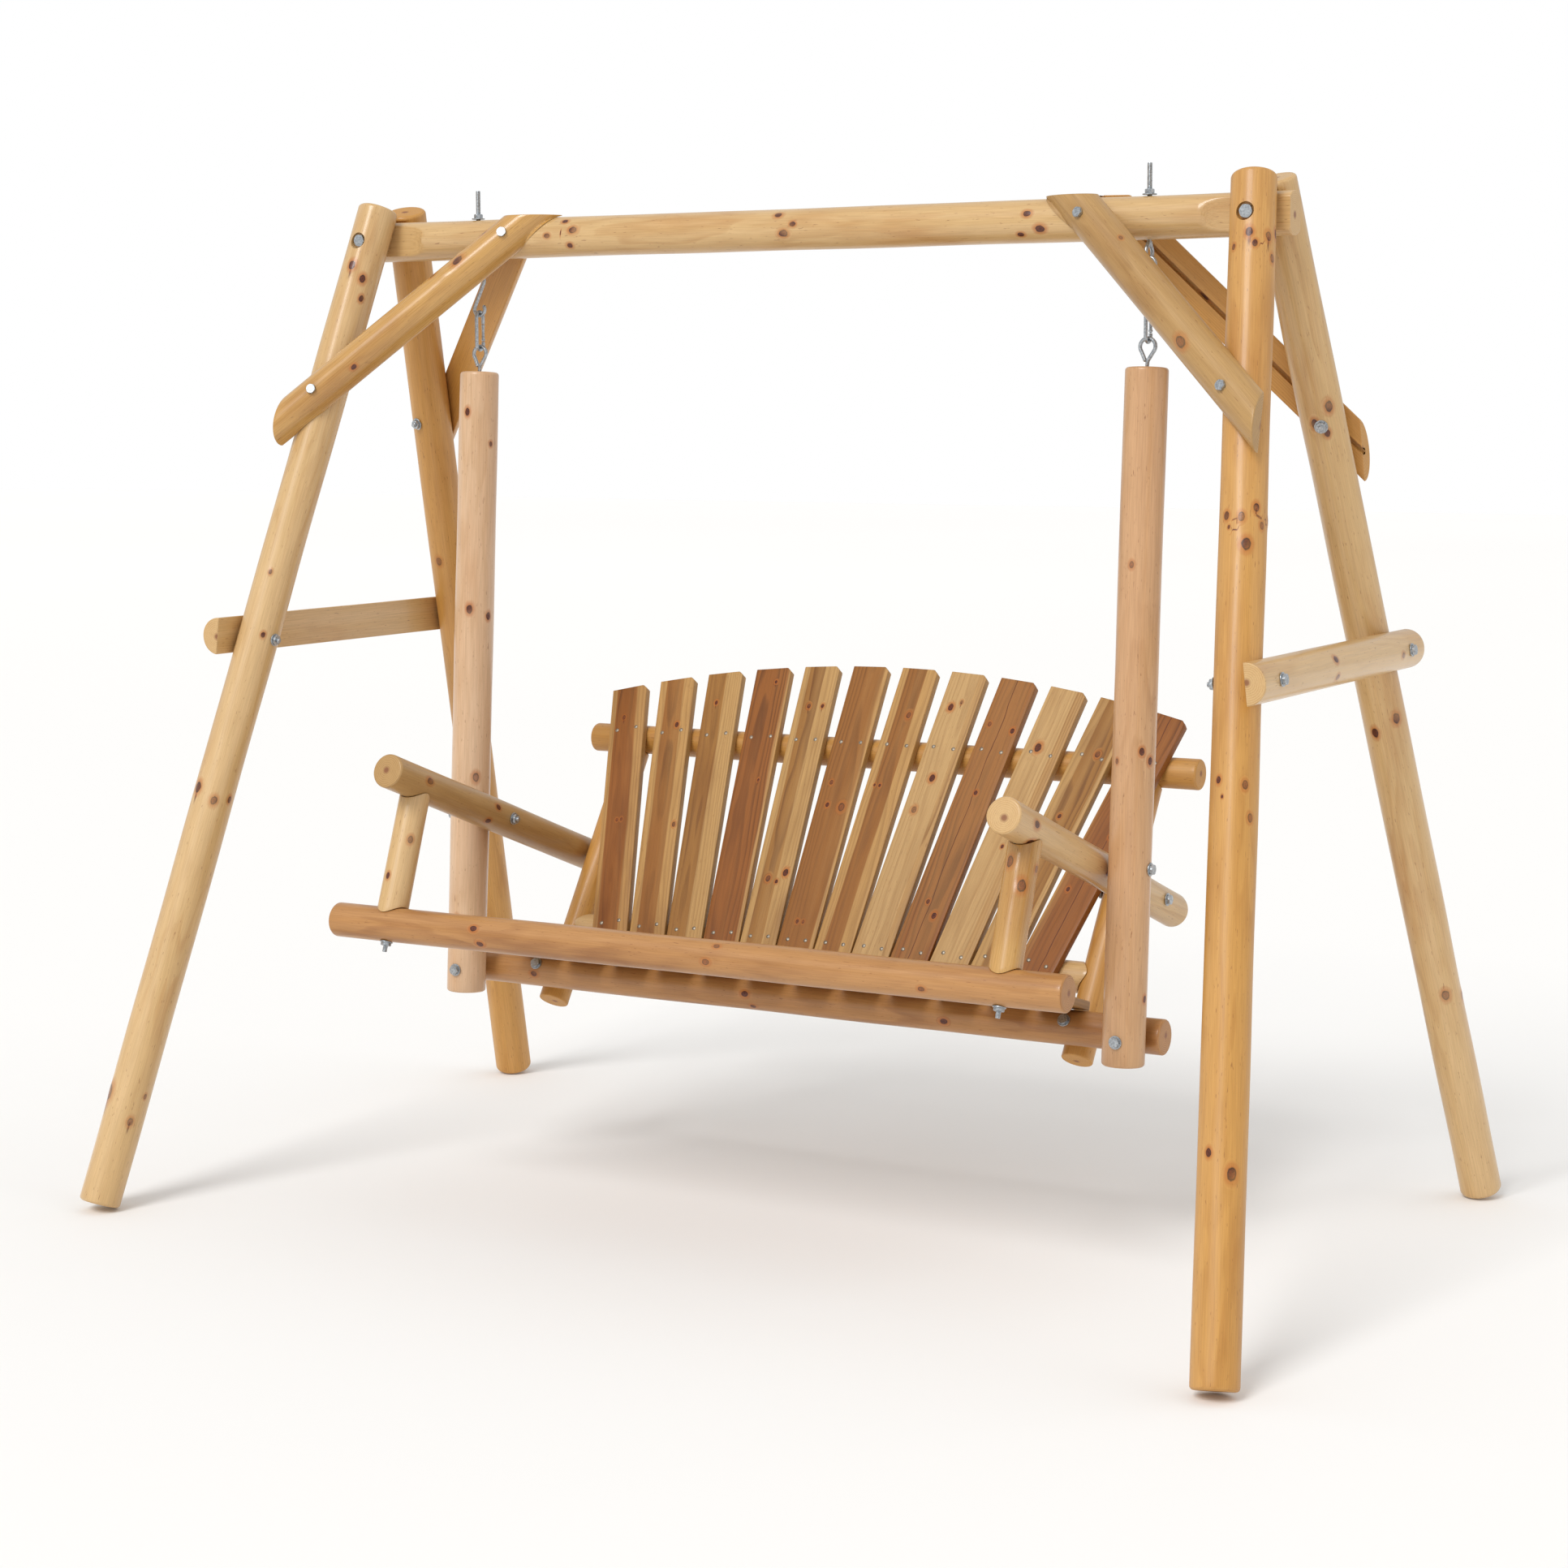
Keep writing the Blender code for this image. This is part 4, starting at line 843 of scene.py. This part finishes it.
def makeSlat(node, index, isBack):
    shape = slatShapes[node]
    outline, centre = plankOutline(shape["width"] - 0.0002, shape["thickness"] - 0.0001, slatLook["ease"])
    low, high = squareCut(0.0), squareCut(shape["length"])
    if isBack:
        corner = shape["width"] / 2 - slatLook["clip"]
        # the top right corner is clipped at 45 degrees; u grows to the left of the face
        high = lambda u, v: shape["length"] - np.maximum(0.0, -u - corner)
    rings = sweepWood(shape, outline, centre, low, high, slatLook["endEase"], slatLook["rows"])
    tone = backTones[index - 1] if isBack else backTones[(index * 5 + 2) % 12]
    piece = makePiece(node + "_board", [ringsToPart(rings)], bodyOf[node], woods[tone], [node])
    rng = np.random.default_rng(300 + index + 40 * isBack)
    if isBack:
        plan = slatPlan[index]
    else:
        plan = {"heart": (rng.uniform(-0.5, 0.5), rng.uniform(0.5, 1.2)),
                "knots": [(rng.uniform(0.1, 0.9), rng.uniform(-25, 25), rng.uniform(3, 5))
                          for k in range(2)]}
    knots = [(place, -across / 1000, mm / 1000, bool(resin)) for place, across, mm, *resin in plan["knots"]]
    pith = (rng.uniform(-0.02, 0.02), -rng.uniform(0.012, 0.05))
    paintWood(piece, shape, knots, 300 + index, pith, True)
    points = readArray(piece.data.vertices, "co", 3)
    across = (shape["origin"] - points) @ shape["side"] / (shape["width"] / 2)
    crack = (across - plan.get("crack", 0.0)) * shape["width"] / 2 * 1000
    shares = np.stack([(across - plan["heart"][0]) / plan["heart"][1], crack,
                       np.full(len(across), float("crack" in plan))], 1)
    setAttribute(piece.data, "plank", "FLOAT_VECTOR", "POINT", shares)


for k in range(12):
    makeSlat(f"back_slat_{k + 1:02d}", k + 1, True)
    makeSlat(f"seat_slat_{k + 1:02d}", k + 1, False)
print("slats made")

# ---------- hangers ----------
hanger = {"wire": 0.003, "rod": 0.004, "eye": 0.0125, "pitch": 0.00125, "threadDepth": 0.0005}


def threadRings(start, direction, length, radius, columns=24):
    # a screw thread: r = R - depth * triangle(z / pitch - angle / 2 pi), faded out at both ends
    across, third = basis(direction)
    rows = int(length / hanger["pitch"] * 6)
    z = np.linspace(0, length, rows)[:, None]
    angle = np.linspace(0, 2 * math.pi, columns, endpoint=False)[None]
    turnPhase = (z / hanger["pitch"] - angle / (2 * math.pi)) % 1.0
    fade = np.minimum(1, np.minimum(z, length - z) / 0.0015)
    r = radius - hanger["threadDepth"] * np.abs(2 * turnPhase - 1) * fade - 0.0006 * (1 - fade)
    ring = across * np.cos(angle)[..., None] + third * np.sin(angle)[..., None]
    return np.asarray(start, float) + direction * z[..., None] + ring * r[..., None]


def nutPart(start, direction, apothem, height, turn=0.0):
    chamfer = apothem * 1.03
    far = apothem * 2
    profile = [(0, apothem * 0.5, chamfer), (0, apothem, chamfer), (height * 0.12, apothem, far),
               (height * 0.88, apothem, far), (height, apothem, chamfer), (height, apothem * 0.5, chamfer)]
    return ringsToPart(tube(start, direction, profile, 48, 6, turn))


def washerPart(start, direction, radius, thickness=0.0018):
    edge = thickness * 0.2
    profile = [(0, radius * 0.4), (0, radius - edge), (edge, radius), (thickness - edge, radius),
               (thickness, radius - edge), (thickness, radius * 0.4)]
    return ringsToPart(tube(start, direction, profile, 40))


def boxMiddle(node):
    low, high = (np.array(corner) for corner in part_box(node))
    return low, high, (low + high) / 2


def makeEyeBolt(side):
    node = "eye_bolt_" + side
    low, high, middle = boxMiddle(node)
    wire = hanger["wire"]
    beamTop = beam["origin"][2] + beam["radius"]
    ringRadius = hanger["eye"]
    centre = np.array([middle[0], 0.0, low[2] + wire + ringRadius])
    neck = centre[2] + ringRadius + 0.004
    # a bent eye: the wire leaves the shank, runs round and comes back to the neck
    loop = arcPath(centre, ringRadius, 128, 412, 40, "yz")
    first = np.array([[middle[0], 0.0, neck + 0.006], [middle[0], -0.0012, neck]])
    last = np.array([[middle[0], 0.0042, neck - 0.0005]])
    path = np.vstack([first, loop, last])
    threadStart = np.array([middle[0], 0.0, neck + 0.002])
    length = high[2] - threadStart[2]
    top = np.array([middle[0], 0.0, beamTop + 0.0003])
    parts = [ringsToPart(wireRings(path, [1, 0, 0], wire)),
             ringsToPart(threadRings(threadStart, up, length, hanger["rod"])),
             washerPart(top, up, 0.011), nutPart(top + up * 0.0019, up, 0.0065, 0.0068, 0.4)]
    return makePiece(node + "_steel", parts, bodyOf[node], zinc, [node], 30.0)


def makeHook(side):
    node = "s_hook_" + side
    low, high, middle = boxMiddle(node)
    wire = hanger["wire"]
    radius = (high[0] - low[0]) / 2 - wire
    upper = np.array([middle[0], 0.0, high[2] - wire - radius])
    lower = np.array([middle[0], 0.0, low[2] + wire + radius])
    tangent = math.degrees(math.asin(-2.0 * radius / (upper[2] - lower[2])))
    path = np.vstack([arcPath(upper, radius, 205, tangent, 34, "xz"),
                      arcPath(lower, radius, tangent + 180, 385, 34, "xz")])
    return makePiece(node + "_steel", [ringsToPart(wireRings(path, [0, 1, 0], wire))], bodyOf[node],
                     zinc, [node], 30.0)


def makeSnapLink(side):
    node = "snap_link_" + side
    low, high, middle = boxMiddle(node)
    gateLow, gateHigh = boxMiddle("snap_gate_" + side)[:2]
    wire = hanger["wire"]
    radius = (high[1] - low[1]) / 2 - wire
    centreY = (high[1] + low[1]) / 2
    x = middle[0]
    topArc = arcPath([x, centreY, high[2] - wire - radius], radius, 0, 180, 22, "yz")
    lowArc = arcPath([x, centreY, low[2] + wire + radius], radius, 180, 360, 22, "yz")
    tip = np.array([[x, centreY + radius, gateHigh[2] + 0.0006]])
    heel = np.array([[x, centreY + radius, gateLow[2] - 0.0006]])
    path = np.vstack([tip, topArc, lowArc, heel])
    parts = [ringsToPart(wireRings(path, [1, 0, 0], wire, roundEnds=False))]
    makePiece(node + "_steel", parts, bodyOf[node], zinc, [node], 30.0)
    # the gate is a pin with a rivet through its heel
    pivot = gateLow[2] + wire
    base = np.array([x, centreY + radius, gateLow[2]])
    height = gateHigh[2] - gateLow[2]
    profile = [(0.0, 0.0012), (0.0006, 0.0022), (0.002, 0.0029), (0.0042, 0.0029), (0.006, 0.0024),
               (height - 0.005, 0.0024), (height - 0.003, 0.0029), (height - 0.0004, 0.0029),
               (height, 0.0025)]
    rivetStart = np.array([x - 0.0033, centreY + radius, pivot])
    rivet = [(0, 0.0009), (0.0002, 0.0013), (0.0064, 0.0013), (0.0066, 0.0009)]
    gateParts = [ringsToPart(tube(base, up, profile, 20)),
                 ringsToPart(tube(rivetStart, rightward, rivet, 16))]
    gateNode = "snap_gate_" + side
    makePiece(gateNode + "_steel", gateParts, bodyOf[gateNode], zinc, [gateNode], 30.0)


def makeEyeScrew(side):
    node = "eye_screw_" + side
    post = shapes["post_" + side]
    high, middle = boxMiddle(node)[1:]
    wire = hanger["wire"]
    down = -post["axis"]
    radius = hanger["eye"]
    seatPivot = np.array([middle[0], 0.0, high[2]]) - up * wire  # wire centre at the top of the eye
    centre = seatPivot + down * radius
    postTop = post["origin"] + post["axis"] * post["length"]
    neckPoint = postTop - down * 0.0105
    angle = np.radians(np.linspace(-38, 218, 40))
    eye = centre + rightward * (radius * np.cos(angle))[:, None] - down * (radius * np.sin(angle))[:, None]
    start = np.array([postTop - down * 0.004, neckPoint + rightward * 0.0010])
    end = np.array([neckPoint - rightward * 0.0040 - down * 0.001])
    path = np.vstack([start, eye, end])
    normal = -unit(np.cross(rightward, down))
    parts = [ringsToPart(wireRings(path, normal, wire)),
             ringsToPart(threadRings(neckPoint - down * 0.001, down, 0.045, wire))]
    return makePiece(node + "_steel", parts, bodyOf[node], zinc, [node], 30.0)


for side in ("left", "right"):
    makeEyeBolt(side)
    makeHook(side)
    makeSnapLink(side)
    makeEyeScrew(side)
print("hangers made")

# ---------- bolts and nails ----------
boltLook = {"head": 0.0075, "headHeight": 0.0052, "shank": 0.004, "tip": 0.0035, "washer": 0.0105}


def headParts(point, direction, washer=True, turn=0.3, size=1.0):
    # washer, hexagon head; point is on the wood and direction points away from it
    direction = unit(direction)
    base = np.asarray(point, float) - direction * 0.0006
    parts = [washerPart(base, direction, boltLook["washer"] * size)] if washer else []
    lift = 0.0018 if washer else 0.0
    parts.append(nutPart(base + direction * lift, direction, boltLook["head"] * size,
                         boltLook["headHeight"] * size, turn))
    return parts


def nutParts(point, direction, washer=True, turn=0.1, size=1.0, reach=0.0):
    # washer, nut and the threaded end that stands through it
    direction = unit(direction)
    parts = headParts(point, direction, washer, turn, size)
    length = boltLook["headHeight"] * size + boltLook["tip"] + reach + 0.002
    parts.append(ringsToPart(threadRings(point, direction, length, boltLook["shank"] * size)))
    return parts


def onLog(shape, point, direction):
    # where the line point + k direction leaves the log, for k > 0
    flat = np.cross(point - shape["origin"], shape["axis"])
    step = np.cross(direction, shape["axis"])
    a, b, c = step @ step, flat @ step, flat @ flat - shape["radius"] ** 2
    return point + direction * ((-b + math.sqrt(max(b * b - a * c, 0.0))) / a)


def passing(log, other, direction):
    # the point of a log's axis that lies over the other log's axis, seen along direction
    square = np.cross(direction, other["axis"])
    reach = ((other["origin"] - log["origin"]) @ square) / (log["axis"] @ square)
    return log["origin"] + log["axis"] * reach


def frontOf(log):
    forward = unit(np.cross(log["axis"], rightward))
    return forward if forward[1] < 0 else -forward


standParts, seatParts = [], []
for side, sign in (("left", -1.0), ("right", 1.0)):
    boltLow, boltHigh = boltBoxes[side]
    middle = (boltLow + boltHigh) / 2
    holeFloor = boltHigh[1] - legBolt["floorInset"]
    parts = []
    for end in (-1.0, 1.0):
        seat = np.array([middle[0], end * holeFloor, middle[2]]) + np.array([0, end * 0.0008, 0])
        outward = np.array([0, end, 0])
        if end < 0:
            parts += headParts(seat, outward, False, 0.2, legBolt["headSize"])
        else:
            parts += nutParts(seat, outward, True, 0.2, legBolt["nutSize"])
    shank = tube([middle[0], -holeFloor, middle[2]], np.array([0, 1.0, 0]),
                 [(0, legBolt["shank"]), (2 * holeFloor, legBolt["shank"])], 24)
    parts.append(ringsToPart(shank))
    makePiece(f"leg_bolt_{side}_steel", parts, "stand", zinc, [f"leg_bolt_{side}"], 30.0)
    for end in ("front", "rear"):
        brace = shapes[f"brace_{end}_{side}"]
        leg = shapes[f"leg_{end}_{side}"]
        outward = brace["side"]
        # bolts stand where the brace's axis passes over the beam and the leg
        rise = (beam["origin"][2] - brace["origin"][2]) / brace["axis"][2]
        overBeam = brace["origin"] + brace["axis"] * rise
        overLeg = passing(brace, leg, outward)
        standParts += headParts(onLog(brace, overBeam, outward), outward, False)
        standParts += headParts(onLog(brace, overLeg, outward), outward, False, 0.5)
        standParts += nutParts(onLog(leg, overLeg, -outward), -outward)
    rail = shapes[f"side_rail_{side}"]
    for end in ("front", "rear"):
        leg = shapes[f"leg_{end}_{side}"]
        outward = rail["side"]
        point = passing(rail, leg, outward)
        standParts += headParts(onLog(rail, point, outward), outward, True, 0.7)
        standParts += nutParts(onLog(leg, point, -outward), -outward)
    # seat: post and upright to lower rail, post to armrest, armrest to upright, support rod, top rail
    post, arm = shapes["post_" + side], shapes["armrest_" + side]
    lower, upright = shapes["lower_rail"], shapes["upright_" + side]
    support, front = shapes["arm_support_" + side], shapes["front_rail"]
    outX = np.array([sign, 0.0, 0.0])
    forward, backForward = frontOf(post), frontOf(upright)
    level = (lower["origin"] - post["origin"]) @ post["axis"]
    point = post["origin"] + post["axis"] * level
    seatParts += headParts(onLog(post, point, forward), forward)
    behind = np.array([post["origin"][0], lower["origin"][1], lower["origin"][2]])
    seatParts += nutParts(onLog(lower, behind, -forward), -forward)
    inUpright = np.array([upright["origin"][0], lower["origin"][1], lower["origin"][2]])
    seatParts += headParts(onLog(lower, inUpright, backForward), backForward)
    seatParts += nutParts(onLog(upright, inUpright, -backForward), -backForward)
    crossing = passing(post, arm, rightward)
    seatParts += headParts(onLog(post, crossing, outX), outX)
    inner = np.array([arm["origin"][0], crossing[1], crossing[2]])
    seatParts += nutParts(onLog(arm, inner, -outX), -outX)
    rearPoint = passing(arm, upright, rightward)
    seatParts += headParts(onLog(arm, rearPoint, outX), outX)
    inside = np.array([upright["origin"][0], rearPoint[1], rearPoint[2]])
    seatParts += nutParts(onLog(upright, inside, -outX), -outX)
    down = -support["axis"]
    foot = np.array([support["origin"][0], front["origin"][1], front["origin"][2]])
    seatParts += nutParts(onLog(front, foot, down), down, True, 0.1, 1.0, 0.006)
    topRail = shapes["top_back_rail"]
    overRail = np.array([upright["origin"][0], topRail["origin"][1], topRail["origin"][2]])
    rearward = -backForward
    seatParts += headParts(onLog(topRail, overRail, rearward), rearward)

makePiece("stand_bolts", standParts, "stand", zinc, (), 30.0)
makePiece("seat_bolts", seatParts, "seat", zinc, (), 30.0)


# (height above the start, radius): a low dome
nailProfile = [(0, 0.0035), (0.0004, 0.0035), (0.001, 0.0027), (0.0013, 0.0013)]


def nailParts(node, crossing, offset):
    # two nail heads on a slat where it crosses a rail: low domes just proud of the face
    shape = slatShapes[node]
    along = np.cross(shape["third"], rightward)
    reach = ((crossing["origin"] - shape["origin"]) @ along) / (shape["axis"] @ along)
    parts = []
    for hand in (-1.0, 1.0):
        point = (shape["origin"] + shape["axis"] * reach + shape["side"] * hand * offset
                 + shape["third"] * (shape["thickness"] / 2 - 0.0003))
        parts.append(ringsToPart(tube(point, shape["third"], nailProfile, 12)))
    return parts


backNails, seatNails = [], []
for k in range(12):
    node = f"back_slat_{k + 1:02d}"
    backNails += nailParts(node, shapes["top_back_rail"], 0.019)
    backNails += nailParts(node, shapes["rear_seat_rail"], 0.017)
    node = f"seat_slat_{k + 1:02d}"
    seatNails += nailParts(node, shapes["lower_rail"], 0.02)
    seatNails += nailParts(node, {"origin": shapes["front_rail"]["origin"] + np.array([0, 0.022, 0])}, 0.02)
makePiece("back_slat_nails", backNails, "seat", nailSteel)
makePiece("seat_slat_nails", seatNails, "seat", nailSteel)
print("bolts and nails made")

# ---------- floor, light and camera ----------
# lights are (name, direction that they shine from, angle across in degrees, strength, seen in reflections)
studio = {"floor": "f8f7f5", "floorDark": "f4f3f1", "ambient": 0.68, "backdrop": 1.0,
          "lights": [("key", (-0.10, -1.0, 0.92), 24.0, 1.75, True),
                     ("fill", (0.9, 0.5, 0.8), 60.0, 0.35, False)]}
view = {"azimuth": 29.51, "pitch": 6.46, "roll": -0.11, "place": (2.449, -4.325, 1.336), "focal": 3757.3,
        "centre": (979.5, 915.4), "pixels": 1932}


def makeFloor():
    mesh = bpy.data.meshes.new("studioFloor")
    size = 30.0
    corners = [(-size, -size, 0), (size, -size, 0), (size, size, 0), (-size, size, 0)]
    mesh.from_pydata(corners, [], [(0, 1, 2, 3)])
    material = bpy.data.materials.new("paintedStudioFloor")
    material.use_nodes = True
    shader = material.node_tree.nodes["Principled BSDF"]
    noise = addNode(material.node_tree, "ShaderNodeTexNoise", {"Scale": 3.0})
    tone = setRamp(addNode(material.node_tree, "ShaderNodeValToRGB", {0: noise.outputs[0]}),
                   [(0.3, linear(studio["floorDark"])), (0.7, linear(studio["floor"]))])
    material.node_tree.links.new(tone.outputs[0], shader.inputs["Base Color"])
    shader.inputs["Roughness"].default_value = 0.85
    mesh.materials.append(material)
    floor = bpy.data.objects.new("studioFloor", mesh)
    bpy.context.scene.collection.objects.link(floor)


def turnTo(right, above, back):
    return Matrix([list(row) for row in np.stack([right, above, back], 1)]).to_4x4()


def makeLights():
    # soft even room light with a white backdrop behind, one soft key light and a weak fill from behind
    world = bpy.data.worlds.new("studioWorld")
    world.use_nodes = True
    background = world.node_tree.nodes["Background"]
    seen = addNode(world.node_tree, "ShaderNodeLightPath").outputs["Is Camera Ray"]
    power = addNode(world.node_tree, "ShaderNodeMapRange",
                    {0: seen, 3: studio["ambient"], 4: studio["backdrop"]})
    world.node_tree.links.new(power.outputs[0], background.inputs[1])
    background.inputs[0].default_value = linear("ffffff")
    bpy.context.scene.world = world
    bpy.context.scene.view_settings.view_transform = "Standard"
    for name, toward, spread, strength, inReflections in studio["lights"]:
        lamp = bpy.data.lights.new(name + "Light", "SUN")
        lamp.angle, lamp.energy = math.radians(spread), strength
        holder = bpy.data.objects.new(lamp.name, lamp)
        back = unit(toward)
        across = unit(np.cross(up, back))
        holder.matrix_world = turnTo(across, np.cross(back, across), back)
        holder.visible_glossy = inReflections
        bpy.context.scene.collection.objects.link(holder)


def makeCamera():
    azimuth, pitch, roll = (math.radians(view[key]) for key in ("azimuth", "pitch", "roll"))
    level = math.cos(pitch)
    ahead = np.array([-math.sin(azimuth) * level, math.cos(azimuth) * level, -math.sin(pitch)])
    across = np.array([math.cos(azimuth), math.sin(azimuth), 0.0])
    top = np.cross(across, ahead)
    right = math.cos(roll) * across + math.sin(roll) * top
    above = -math.sin(roll) * across + math.cos(roll) * top
    camera = bpy.data.cameras.new("camera")
    camera.sensor_width = 36.0
    camera.lens = view["focal"] / view["pixels"] * 36.0
    half = view["pixels"] / 2
    camera.shift_x = (half - view["centre"][0]) / view["pixels"]
    camera.shift_y = (view["centre"][1] - half) / view["pixels"]
    holder = bpy.data.objects.new("camera", camera)
    holder.matrix_world = Matrix.Translation(view["place"]) @ turnTo(right, above, -ahead)
    bpy.context.scene.collection.objects.link(holder)
    bpy.context.scene.camera = holder


makeFloor()
makeLights()
makeCamera()

print("scene made")
